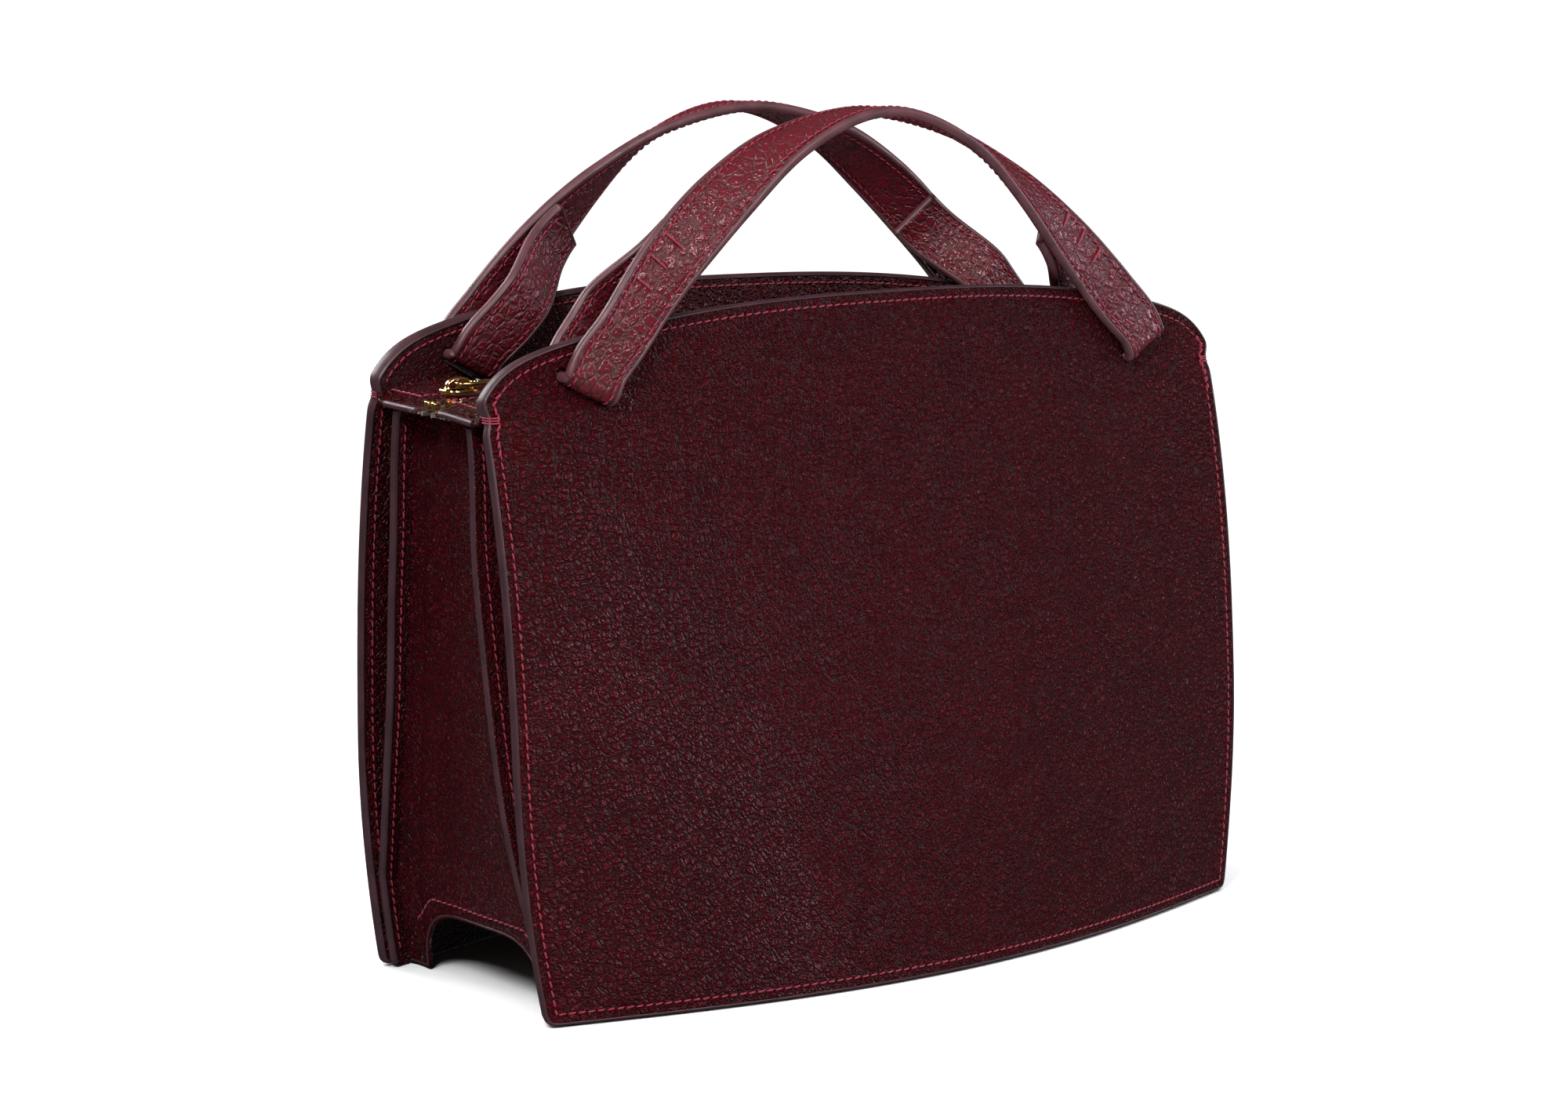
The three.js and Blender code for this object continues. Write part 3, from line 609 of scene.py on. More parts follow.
def face_grid(inset):
    u = spread(171, 1.9, -1, 1)[None, :]
    v = spread(121, 1.9, 0, 1)[:, None]
    z = lerp(inset, crown(u) - inset, v)
    return u * (seen_half_width(z) - inset), z


def grain_uv(x, z):
    """Grain that is drawn out sideways towards the two stitched sides."""
    far = np.maximum(0, np.abs(x) - 95)
    return np.stack(np.broadcast_arrays(np.sign(x) * (np.abs(x) - far * far / 420), z), -1)


def outline(inset, step=1.2):
    """The face's outline in x and z, closed, moved inwards by inset."""
    low, high = np.linspace(0, CORNER_R, 14), np.linspace(199, crown(1.0), 16)
    zs = np.concatenate([low, np.linspace(4, 198, 92), high])
    right = np.stack([seen_half_width(zs), zs], -1)
    us = np.concatenate([np.linspace(1, 0.9, 30)[1:], np.linspace(0.9, 0, 40)[1:]])
    top = np.stack([us * HALF_W_NOTCH, crown(us)], -1)
    foot = np.linspace(0, seen_half_width(0), 40)[:-1]
    half = np.concatenate([np.stack([foot, np.zeros_like(foot)], -1), right, top])
    other = half[::-1][1:-1] * np.array([-1, 1])
    path = resample(np.concatenate([half, other]), step, closed=True)
    for _ in range(2):
        path = (np.roll(path, 1, 0) + 2 * path + np.roll(path, -1, 0)) / 4
    t = tangents(path, closed=True)
    return path + np.stack([-t[:, 1], t[:, 0]], -1) * inset


def cutter(side):
    """The two strap slots as one rounded prism each."""
    parts = []
    for end in (-1, 1):
        angle = np.linspace(-math.pi / 2, math.pi / 2, 9)
        r = SLOT_H / 2 - 0.1
        right = np.stack([SLOT_L / 2 - r + r * np.cos(angle), r * np.sin(angle)], -1)
        shape = np.concatenate([right, -right])
        turn = end * SLOT_TILT
        x = end * SLOT_X + shape[:, 0] * math.cos(turn) - shape[:, 1] * math.sin(turn)
        z = SLOT_Z + shape[:, 0] * math.sin(turn) + shape[:, 1] * math.cos(turn)
        y = side * half_depth(SLOT_X, SLOT_Z)
        rings = [np.stack([x, np.full_like(x, y + d), z], -1) for d in (-20, 20)]
        ids = grid_ids(2, len(x))
        parts.append((np.concatenate(rings), tube_faces(ids), np.zeros((2 * len(x), 2))))
    points, faces, uv = joined(parts)
    return piece("cutter", points, faces, "leather", uv)


def is_closed(mesh):
    bm = bmesh.new()
    bm.from_mesh(mesh)
    closed = all(edge.is_manifold for edge in bm.edges)
    bm.free()
    return closed


def cut_slots(obj, side):
    """Cut the slots; where the cut leaves a torn skin, try again a hair's breadth further along."""
    tool = cutter(side)
    modifier = obj.modifiers.new("slots", "BOOLEAN")
    modifier.object = tool
    modifier.operation = "DIFFERENCE"
    modifier.solver = "EXACT"
    for nudge in (0.0, 0.04, -0.04, 0.09, -0.09, 0.15):
        tool.location = (nudge * MM, 0, nudge * MM)
        bpy.context.view_layer.update()
        made = bpy.data.meshes.new_from_object(obj.evaluated_get(bpy.context.evaluated_depsgraph_get()))
        if is_closed(made):
            break
    obj.modifiers.remove(modifier)
    obj.data = made
    bpy.data.objects.remove(tool)
    return obj


def bead_section(thick, reach=0.9, proud=0.05):
    """Outline of a painted edge: flat inside, round outside. Each point is outwards, then into the face."""
    angle = np.linspace(-math.pi / 2, math.pi / 2, 11)
    r = thick / 2 + proud
    round_part = np.stack([np.cos(angle) * reach - reach, thick / 2 + r * np.sin(angle)], -1)
    lap = np.array([[-reach - 0.35, -proud * 0.3], [-reach - 0.35, thick + proud * 0.3]])
    return np.concatenate([lap[:1], round_part, lap[1:]])


def outer_face(where):
    side, body = SIDES[where], BODY[where]
    x, z = face_grid(1.0)
    uv = grain_uv(x, z) + np.array([0, 700.0 * side])
    wear = np.exp(-from_edge(x, z) / 3.0)
    panel = face_point(side, x, z, 0.0)
    back = face_point(side, x, z, LEATHER, 0.0)
    points, faces, flat = sheet_mesh(panel, back, uv)
    weights = sheet_wear(wear)
    obj = cut_slots(piece(f"{where}_outer_leather", points, faces, "leather", flat, weights), side)
    place(obj, body, f"{where}_outer_panel")
    top = face_point(side, x, z, LEATHER + GAP * 0.4, 0.0)
    low = face_point(side, x, z, FACE_T + 0.25 * smooth(from_edge(x, z), 0, 3) - 0.25, 0.0)
    points, faces, flat = sheet_mesh(top, low, uv)
    lining = piece(f"{where}_face_lining", points, faces, "leather", flat, weights)
    place(cut_slots(lining, side), body, f"{where}_panel_lining")


def sheet_wear(wear):
    """Wear at every point of a sheet's mesh: both of its sides, then its rim."""
    return np.concatenate([wear.ravel(), wear.ravel(), wear.ravel()[rim_loop(grid_ids(*wear.shape))]])


def edge_frames(side, path):
    """Outward direction in the face and direction into the face, along an outline in x and z."""
    x, z = path[:, 0], path[:, 1]
    on_face = np.stack([x, side * half_depth(x, z), z], -1)
    t = tangents(on_face, closed=True)
    inward = -face_normal(side, x, z)
    out = unit(np.cross(t, inward))
    centre = np.array([0, 0, 110.0])
    flip = np.sign(np.einsum("ij,ij->i", out, on_face * np.array([1, 0, 1]) - centre))
    return on_face, out * flip[:, None], inward


def face_edge(where):
    """Painted edge round the whole face, thicker round the head where the facing is sewn in."""
    side = SIDES[where]
    path = outline(0.0)
    on_face, out, inward = edge_frames(side, path)
    head = smooth(path[:, 1], NOTCH_Z - 0.8, NOTCH_Z + 1.4)
    section = np.stack([bead_section(lerp(FACE_T, HEAD_T, k)) for k in head])
    mesh = sweep_mesh(on_face, out, inward, section, closed=True)
    placed(f"{where}_painted_edge", mesh, "edge", BODY[where])


def face_stitches(where):
    """The row round the face, seen outside and inside, with a second row beside each notch."""
    side, body = SIDES[where], BODY[where]
    path = outline(STITCH_IN, 0.8)
    x, z = path[:, 0], path[:, 1]
    n = face_normal(side, x, z)
    rows = [stitch_row(face_point(side, x, z, 0.0), n, closed=True)]
    inner = face_point(side, x, z, FACE_T, 0.0)
    rows.append(stitch_row(inner, -n, closed=True))
    for end in (-1, 1):
        near = np.where((np.sign(x) == end) & (z > NOTCH_Z - 12) & (z < NOTCH_Z + 9))[0]
        near = near[np.argsort(z[near])]
        double = face_point(side, x[near] + end * 0.35, z[near], -0.35)
        rows.append(stitch_row(double, n[near], pitch=3.0, length=2.7, radius=0.42, slant=-0.25))
    stitching(f"{where}_edge_stitching", body, rows)


TACK_WRAPS, TACK_PITCH, TACK_R = 3, 0.85, 0.27


def bar_tack(where):
    """Stitches wrapped over the painted edge at each notch."""
    side = SIDES[where]
    rows = []
    for end in (-1, 1):
        for k in range(TACK_WRAPS):
            z = NOTCH_Z - 0.8 + TACK_PITCH * k
            w = float(seen_half_width(z))
            xs = end * (w + np.array([-3.8, -2.8, -1.4, -0.1, 0.25, 0.25, -0.1, -1.4, -3.6]))
            d = np.array([0.05, 0.05, 0.15, 0.7, 1.7, 3.4, 4.4, 5.0, 5.2]) - 0.35
            y = side * (half_depth(xs, z) - d)
            path = np.stack([xs, y, np.full_like(xs, z)], -1)
            path = resample(path, 0.35)
            t = tangents(path)
            up = unit(np.cross(t, np.array([0, 0, 1.0])))
            if up[0] @ np.array([0, side, 0]) < 0:
                up = -up
            angle = np.arange(6) * math.pi / 3
            section = np.stack([np.cos(angle), np.sin(angle)], -1) * TACK_R
            rows.append(sweep_mesh(path, np.broadcast_to(np.array([0, 0, 1.0]), path.shape), up, section))
    stitching(f"{where}_bar_tacks", BODY[where], rows)


for where in SIDES:
    outer_face(where)
    face_edge(where)
    face_stitches(where)
    bar_tack(where)


# ---- head facings that turn in over the zip --------------------------------------------------
FLAP_SEEN_T = 2.3
FLAP_END = 164.0
FLAP_DROOP = 3.8


def flap_rise(side, y):
    """The front flap climbs a little towards the zip, and the back one hardly does."""
    inwards = 1 - smooth(np.abs(y), 9, HALF_D_NOTCH)
    return (0.9 if side < 0 else 0.1) * inwards


def flap_droop(x):
    """The flaps and the tape under them bend down at both ends of the zip."""
    return FLAP_DROOP * smooth(np.abs(x), 147, 163)


def facing_line(side, u):
    """Visible side of the facing at one place across the bag: down the head, round, and in to the zip."""
    top_x = u * (HALF_W_NOTCH - 1.6)
    rows = []
    depth = FACE_T + GAP + FLAP_T
    round_r = 2.4
    flap_z = FLAP_TOP_Z - float(flap_droop(u * FLAP_END))
    low = flap_z + round_r
    for z in spread(26, 1.4, crown(u) - 1.0, low):
        rows.append((top_x, side * (float(half_depth(top_x, z)) - depth), z))
    wall = float(half_depth(top_x, flap_z)) - depth
    end = FLAP_END * u
    for a in np.linspace(0, math.pi / 2, 6)[1:]:
        x = lerp(top_x, end, a / (math.pi / 2))
        rows.append((x, side * (wall - round_r * (1 - math.cos(a))), low - round_r * math.sin(a)))
    for y in spread(30, 1.5, wall - round_r, FLAP_TO_ZIP + side * ZIP_Y)[1:]:
        rows.append((end, side * y, flap_z + float(flap_rise(side, y))))
    return np.array(rows)


def facing_surface(side):
    us = spread(141, 1.6, -1, 1)
    grid = np.stack([facing_line(side, u) for u in us], 1)
    cols = grid.shape[1]
    across, along = np.zeros_like(grid), np.zeros_like(grid)
    across[:, 1:-1] = grid[:, 2:] - grid[:, :-2]
    across[:, 0], across[:, -1] = grid[:, 1] - grid[:, 0], grid[:, -1] - grid[:, -2]
    along[1:-1] = grid[2:] - grid[:-2]
    along[0], along[-1] = grid[1] - grid[0], grid[-1] - grid[-2]
    n = unit(np.cross(across, along))
    if n[-3, cols // 2, 2] < 0:
        n = -n
    down = lengths(grid[:, cols // 2])
    uv = np.stack(np.broadcast_arrays(grid[..., 0], down[:, None] + 900 * (2 + side)), -1)
    swell = 0.5 * ripple(grid[..., 0], down[:, None] * np.ones(cols), 21 + side, 46)
    edge = np.minimum(np.minimum(down, down[-1] - down)[:, None], (FLAP_END - np.abs(grid[..., 0])))
    valley = -0.32 * np.exp(-((edge - 3.4) ** 2))
    swell = swell * smooth(edge, 2, 14) + valley - 0.35 * (1 - smooth(edge, 0, 2))
    return grid, n, uv, swell, edge, down


def facing(where):
    side = SIDES[where]
    grid, n, uv, swell, edge, down = facing_surface(side)
    flap = smooth(down, down[-1] - 34, down[-1] - 24)[:, None, None]
    thick = lerp(FLAP_T - 0.1, FLAP_SEEN_T, flap)
    points, faces, flat = sheet_mesh(grid + n * (swell * 0.8)[..., None], grid - n * thick, uv, 0.1)
    wear = np.exp(-edge / 3.0)
    weights = sheet_wear(wear)
    obj = cut_slots(piece(f"{where}_facing", points, faces, "coarse", flat, weights), side)
    place(obj, BODY[where], f"{where}_zip_facing")
    # painted edge along both ends and the zip side of the flap
    first = int(np.argmax(down > down[-1] - 33.5))
    left, right, lip = grid[first:, 0], grid[first:, -1], grid[-1]
    path = np.concatenate([left[:-1], lip, right[::-1][1:]])
    keep = np.concatenate([[True], np.linalg.norm(np.diff(path, axis=0), axis=1) > 1e-3])
    path = softened(resample(path[keep], 0.8), 6)
    up = np.broadcast_to(np.array([0, 0, 1.0]), path.shape)
    out = unit(np.cross(tangents(path), up))
    centre = np.array([0, side * 26.0, FLAP_TOP_Z])
    if ((path - centre) * out).sum() < 0:
        out = -out
    section = bead_section(FLAP_SEEN_T, 1.2, 0.12)
    mesh = sweep_mesh(path + out * 0.35, out, -up, section)
    placed(f"{where}_flap_painted_edge", mesh, "edge", BODY[where])
    # stitches along the ends and the zip side, and inside the head below its top edge
    inner = path - out * 3.2
    inner[:, 2] = FLAP_TOP_Z + flap_rise(side, inner[:, 1]) - 0.2
    rows = [stitch_row(inner, up)]
    line = outline(STITCH_IN, 0.8)
    head = line[line[:, 1] > NOTCH_Z + 4.5]
    head = head[np.argsort(head[:, 0])]
    x, z = head[:, 0], head[:, 1]
    place_at = np.stack([x, side * (half_depth(x, z) - HEAD_T + 0.1), z], -1)
    rows.append(stitch_row(place_at, -face_normal(side, x, z)))
    stitching(f"{where}_facing_stitching", BODY[where], rows)


# ---- compartment: inner panels, gussets, floor and linings -----------------------------------
def inner_sheet(where, name, half_at, heights, depth, thick, finish, node, seed=31, wave=60):
    """A leather or cloth sheet that follows the compartment's front or back wall."""
    side = SIDES[where]
    z = spread(70, 1.5, *heights)[:, None]
    x = spread(90, 1.6, -1, 1)[None, :] * half_at(z)
    swell = 0.22 * ripple(x, z, seed + side, wave)
    base = lambda d: np.stack(np.broadcast_arrays(x, inner_y(side, x, z, d), z), -1)
    uv = np.stack([x, z * np.ones_like(x) + 1300 * (3 + side)], -1)
    points, faces, flat = sheet_mesh(base(depth + 0.2 * np.abs(swell)), base(depth + thick), uv, 0.3)
    placed(name, (points, faces, flat), finish, BODY[where], node)


def edge_line(side, end, z, depth):
    x = end * inner_half_width(z)
    return np.stack([x, inner_y(side, x, z, depth), z], -1)


def compartment_wall(where):
    side = SIDES[where]
    inset = lambda z: inner_half_width(z) - 0.9
    name, node = f"{where}_compartment_wall", f"{where}_inner_panel"
    inner_sheet(where, name, inset, (0.3, INNER_TOP_Z), 0.0, INNER, "leather", node)
    half = lambda z: web_x(z) - LINING - 3
    heights = (FLOOR_Z + BOTTOM_T + 2.6, 196.0)
    name, node = f"{where}_cloth_lining", f"{where}_compartment_lining"
    inner_sheet(where, name, half, heights, INNER + GAP, FABRIC, "cloth", node, seed=41)
    # painted edges where wall and gusset flange are sewn together, with a stitch row on both faces
    parts, rows = [], []
    thick = INNER + GAP + LINING
    for end in (-1, 1):
        z = np.concatenate([np.linspace(0.6, 8, 20), np.linspace(9, GUSSET_TOP_Z, 110)])
        path = edge_line(side, end, z, 0.0)
        into = np.broadcast_to(np.array([0, -side, 0.0]), path.shape)
        out = unit(np.cross(tangents(path), into))
        out = out * np.sign(out[60, 0] * end)
        parts.append(sweep_mesh(path, out, into, bead_section(thick, 1.5, 0.08)))
        z = np.linspace(6, 196, 200)
        for depth, facing_way in ((-0.05, side), (thick + 0.05, -side)):
            line = edge_line(side, end, z, depth)
            line[:, 0] -= end * 4.3
            line[:, 1] = inner_y(side, line[:, 0], z, depth)
            rows.append(stitch_row(line, np.broadcast_to(np.array([0, facing_way, 0.0]), line.shape)))
    placed(f"{where}_wall_painted_edges", joined(parts), "edge", BODY[where])
    stitching(f"{where}_wall_stitching", BODY[where], rows)


def arch(y, middle, reach):
    """Height of the gusset's lower edge between its two feet."""
    k = np.clip(np.abs(y - middle) / reach, 0, 1)
    return 0.4 + (ARCH_Z + 1.5) * np.sqrt(np.clip(1 - k**5, 0, 1)) * (np.abs(y - middle) < reach)


def gusset_section(end, z, t):
    """Outer surface of a gusset at height z: t runs from -1 on the front flange to 1 on the back one."""
    z = np.asarray(z, float)
    edge, web = inner_half_width(z) - 0.9, web_x(z)
    depth = INNER + GAP + LINING
    yf, yb = inner_y(-1, web, z, depth), inner_y(1, web, z, depth)
    ef, eb = inner_y(-1, edge, z, depth), inner_y(1, edge, z, depth)
    share = 0.2
    flange = np.clip((np.abs(t) - (1 - share)) / share, 0, 1)
    across = np.clip(t / (1 - share), -1, 1)
    bend = 0.5 * (1 - smooth(np.abs(np.abs(t) - (1 - share)), 0, 0.06))
    y = lerp(yf, yb, (across + 1) / 2)
    y = np.where(t < 0, lerp(y, ef, flange), lerp(y, eb, flange))
    fold = (1 - np.abs(across)) ** 1.1
    sag = GUSSET_SAG * np.sin(math.pi * np.clip(z / GUSSET_TOP_Z, 0, 1)) * np.minimum(1, fold * 1.4)
    wave = 0.35 * ripple(y, z, 51 + end, 42) * smooth(1 - np.abs(across), 0.02, 0.3)
    x = web - sag + wave + flange * (edge - web) + bend * 1.6
    return end * x, y


def gusset(where, end):
    t = spread(91, 1.3, -1, 1)[None, :]
    v = spread(110, 1.4, 0, 1)[:, None]
    _, y0 = gusset_section(end, np.full(t.shape, 10.0), t)
    yf, yb = inner_y(-1, web_x(0), 0.0, 3.5), inner_y(1, web_x(0), 0.0, 3.5)
    middle, reach = (yf + yb) / 2, (yb - yf) / 2 - FOOT_W
    z0 = arch(y0, middle, reach)
    z = lerp(z0, GUSSET_TOP_Z, v)
    x, y = gusset_section(end, z, t * np.ones_like(z))
    outer = np.stack([x, y, z], -1)
    across, up = np.gradient(outer, axis=1), np.gradient(outer, axis=0)
    n = unit(np.cross(across, up))
    n *= np.sign(n[60, 45, 0]) * end
    arc = np.stack([lengths(row) for row in outer])
    uv = np.stack([arc + 2000 * (2 + end), z], -1)
    wear = np.exp(-(z - z0) / 4.0) * 0.6
    points, faces, flat = sheet_mesh(outer, outer - n * (LINING - 0.15), uv, 0.3)
    weights = sheet_wear(wear)
    obj = piece(f"{where}_gusset_leather", points, faces, "leather", flat, weights)
    bend_between(obj, f"{where}_gusset")
    # painted lip round the arch, with its stitch row above it
    line = softened(resample(outer[0, 14:-14], 0.8), 4)
    out = np.broadcast_to(np.array([end, 0, 0.0]), line.shape)
    down = unit(np.cross(tangents(line), out))
    down = down * -np.sign(down[len(down) // 2, 2])
    section = bead_section(LINING + 0.5, 0.8, 0.1)
    points, faces, uv = sweep_mesh(line + out * 0.25, down, -out, section)
    bend_between(piece(f"{where}_gusset_lip", points, faces, "edge", uv))
    y = np.linspace(middle - reach - 4, middle + reach + 4, 120)
    eased = arch(middle, middle, reach) - 9 * smooth(np.abs(y - middle), reach - 9, reach + 5)
    height = np.maximum(arch(y, middle, reach), eased) + 4.6
    sx, sy = gusset_section(end, height, np.interp(y, outer[3, :, 1], t[0]))
    row = np.stack([sx, sy, height], -1)
    up = np.broadcast_to(np.array([end, 0, 0.0]), row.shape)
    points, faces, uv = stitch_row(row + up * 0.1, up)
    bend_between(piece(f"{where}_gusset_stitching", points, faces, "thread", uv))


def bend_between(obj, *nodes):
    """Bake the piece's placing into its mesh, leave it on no body, and hide the nodes it stands for."""
    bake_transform(obj)
    if nodes:
        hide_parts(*nodes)
    return obj


def bottom():
    """Inverted channel: a skirt behind each face and the floor of the compartment between them."""
    us = spread(91, 1.3, -1, 1)
    corner, steps = 4.0, 21
    skirt = [(lerp(0.4, FLOOR_Z - corner, k / steps), 0.0) for k in range(steps + 1)]
    for a in np.linspace(0, math.pi / 2, 7)[1:]:
        skirt.append((FLOOR_Z - corner + corner * math.sin(a), corner * (1 - math.cos(a))))

    def skirt_row(side, z, extra):
        x = us * (web_x(z) - LINING - 1.8)
        y = inner_y(side, x, z, INNER + GAP + BOTTOM_T + extra)
        return np.stack([x, y, np.full_like(x, z)], -1)

    rows = [skirt_row(-1, z, extra) for z, extra in skirt]
    front, back = skirt_row(-1, FLOOR_Z, corner), skirt_row(1, FLOOR_Z, corner)
    x = front[:, 0]
    for s in np.linspace(-1, 1, 41)[1:-1]:
        y = lerp(front[:, 1], back[:, 1], (s + 1) / 2)
        rows.append(np.stack([x, y, FLOOR_Z + 0.5 * ripple(x, y, 61, 70) * (1 - s * s)], -1))
    rows += [skirt_row(1, z, extra) for z, extra in reversed(skirt)]
    grid = np.stack(rows)
    n = unit(np.cross(np.gradient(grid, axis=1), np.gradient(grid, axis=0)))
    n *= -np.sign(n[len(grid) // 2, 45, 2])
    down = lengths(grid[:, 45])
    uv = np.stack([grid[..., 0], down[:, None] * np.ones(grid.shape[1]) + 5000], -1)
    points, faces, flat = sheet_mesh(grid, grid - n * (BOTTOM_T - 0.1), uv, 0.3)
    bend_between(piece("bottom_leather", points, faces, "leather", flat), "bottom_panel")


def board():
    low = FLOOR_Z + BOTTOM_T + 0.5
    half = float(web_x(low)) - LINING - 3.4
    us = spread(61, 1.5, -1, 1)[None, :]
    vs = spread(31, 1.5, -1, 1)[:, None]
    x = us * half * (1 - 0.02 * np.abs(vs) ** 8)
    y = lerp(inner_y(-1, x, low, INNER + GAP + 3.3), inner_y(1, x, low, INNER + GAP + 3.3), (vs + 1) / 2)
    y = y * (1 - 0.03 * np.abs(us) ** 8)
    puff = 0.25 * ripple(x, y, 71, 50)
    top = np.stack([x, y, low + 1.7 + puff * 0.5], -1)
    base = np.stack([x, y, np.full_like(x, low)], -1)
    mesh = sheet_mesh(top, base, np.stack([x, y], -1), 0.4)
    placed("covered_base_board", mesh, "board", "body", "base_board")


def slip_pocket():
    half_w, low, high, inset = 75.0, 66.0, 178.0, 3.0
    depth, thick = INNER + FABRIC + 2 * GAP, 1.1
    half = lambda z: half_w + 0 * z
    name, heights = "inside_slip_pocket", (low, high)
    inner_sheet("back", name, half, heights, depth, thick, "cloth", "slip_pocket", seed=81, wave=40)
    z = np.linspace(low + inset, high - inset, 90)
    x = np.linspace(inset - half_w, half_w - inset, 90)
    uprights = [(np.full_like(z, end * (half_w - inset)), z) for end in (-1, 1)]
    levels = [(x, np.full_like(x, height)) for height in (low + inset, high - 7)]
    rows = []
    for line_x, line_z in uprights + levels:
        path = np.stack([line_x, inner_y(1, line_x, line_z, depth + thick + 0.05), line_z], -1)
        forward = np.broadcast_to(np.array([0, -1.0, 0]), path.shape)
        rows.append(stitch_row(path, forward, pitch=2.6, length=2.1, radius=0.26))
    stitching("slip_pocket_stitching", "body", rows)


# ---- zip -------------------------------------------------------------------------------------
TAPE_T, TAPE_FAR, TAPE_NEAR, TAPE_HALF_L = 0.8, 15.0, 3.2, 164.0
TOOTH_PITCH, TEETH_T, TEETH_Z, TEETH_X0, TEETH_X1 = 4.0, 3.0, 203.9, -156.0, 154.0
TAPE_TOP = FLAP_TOP_Z - FLAP_T - GAP


def zip_tape(where):
    side = SIDES[where]
    x = spread(181, 1.15, -TAPE_HALF_L, TAPE_HALF_L)[None, :]
    v = np.linspace(TAPE_NEAR, TAPE_FAR, 15)[:, None]
    at_end = np.sign(x) * smooth(np.abs(x), TAPE_HALF_L - 0.2, TAPE_HALF_L)
    fray = 0.5 * ripple(v * 9, x * 0, 91 + side, 6) * at_end
    wave = 0.12 * ripple(x, v, 95 + side, 22) - 0.7 * flap_droop(x)
    top = np.stack(np.broadcast_arrays(x + fray, ZIP_Y + side * v, TAPE_TOP - 0.15 + wave), -1)
    low = top - np.array([0, 0, TAPE_T - 0.15])
    uv = np.stack(np.broadcast_arrays(x, v + 40 * side), -1)
    mesh = sheet_mesh(top, low, uv, 0.3)
    placed(f"{where}_woven_tape", mesh, "tape", BODY[where], f"{where}_zip_tape")
    # corded edge that the teeth grip
    height = TAPE_TOP - 0.5 - 0.7 * flap_droop(x[0])
    path = np.stack([x[0], np.full(x.shape[1], ZIP_Y + side * 3.1), height], -1)
    angle = np.arange(8) * math.pi / 4
    section = np.stack([np.cos(angle) * 0.65, np.sin(angle) * 0.8], -1)
    up = np.broadcast_to(np.array([0, 0, 1.0]), path.shape)
    mesh = sweep_mesh(path, np.broadcast_to(np.array([0, 1.0, 0]), path.shape), up, section)
    placed(f"{where}_tape_cord", mesh, "tape", BODY[where])


def rounded_block(lx, ly, lz, centre, r, steps=3):
    """A closed box with rounded edges: a grown cube whose points sit on a rounded box."""
    bm = bmesh.new()
    bmesh.ops.create_cube(bm, size=1.0)
    bmesh.ops.scale(bm, vec=(lx, ly, lz), verts=bm.verts)
    bmesh.ops.bevel(bm, geom=bm.edges[:], offset=r, segments=steps, profile=0.5, affect="EDGES")
    points = np.array([v.co for v in bm.verts]) + np.array(centre)
    faces = [tuple(v.index for v in f.verts) for f in bm.faces]
    bm.free()
    return points, faces, points[:, :2]


def zip_teeth(where):
    side = SIDES[where]
    shift = 0 if side < 0 else TOOTH_PITCH / 2
    base, faces, uv = rounded_block(1.5, 3.1, TEETH_T - 0.4, (0, 0, 0), 0.42, 3)
    near = base[:, 1] * side < 0
    base[:, 0] *= np.where(near, 1.18, 0.9)
    base[:, 2] *= np.where(near, 0.86, 1.0)
    parts = []
    x = TEETH_X0 + 1 + shift
    while x + 1.5 < TEETH_X1:
        at = np.array([x + 0.75, ZIP_Y + side * 1.85, TEETH_Z + TEETH_T / 2])
        parts.append((base + at, faces, uv))
        x += TOOTH_PITCH
    placed(f"{where}_gold_teeth", joined(parts), "gold", BODY[where], f"{where}_zip_teeth")
    centre = (TEETH_X0 - 5.5, ZIP_Y + side * 2.2, TEETH_Z + TEETH_T / 2)
    stop = rounded_block(3.0, 2.6, TEETH_T, centre, 0.7, 4)
    placed(f"{where}_gold_top_stop", stop, "gold", BODY[where], f"{where}_zip_top_stop")


def plate_rings(shape, z0, z1, r):
    """Rings up the side of a flat plate that is rounded at both rims."""
    t = tangents(shape, closed=True)
    inward = np.stack([-t[:, 1], t[:, 0]], -1)
    if ((shape.mean(0) - shape) * inward).sum() < 0:
        inward = -inward
    quarter = [(r * (1 - math.sin(a)), r * (1 - math.cos(a))) for a in np.linspace(0, math.pi / 2, 4)]
    levels = [(i, z0 + rise) for i, rise in quarter] + [(i, z1 - rise) for i, rise in reversed(quarter)]
    return [np.column_stack([shape + inward * i, np.full(len(shape), z)]) for i, z in levels]


def plate_mesh(shape, z0, z1, r):
    """A flat plate with rounded edges from its outline, as a closed skin with capped rings."""
    rings = plate_rings(shape, z0, z1, r)
    points = np.concatenate(rings)
    return points, tube_faces(grid_ids(len(rings), len(shape))), points[:, :2]


def oval(lx, ly, power=2.6, count=48):
    a = np.arange(count) * 2 * math.pi / count
    round_xy = np.stack([np.cos(a), np.sin(a)], -1)
    return np.sign(round_xy) * np.abs(round_xy) ** (2 / power) * np.array([lx, ly]) / 2


PLATE_T, CAP_CLEAR, BRIDGE_REACH, WEB_T = 1.3, 2.2, 4.6, 0.4
PULLER_T, PULLER_R, EYE_AT, EYE_L, EYE_W = 1.7, 0.45, 5.0, 6.4, 3.2


def node_box(node):
    low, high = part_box(node)
    return np.array(low) * 1000, np.array(high) * 1000


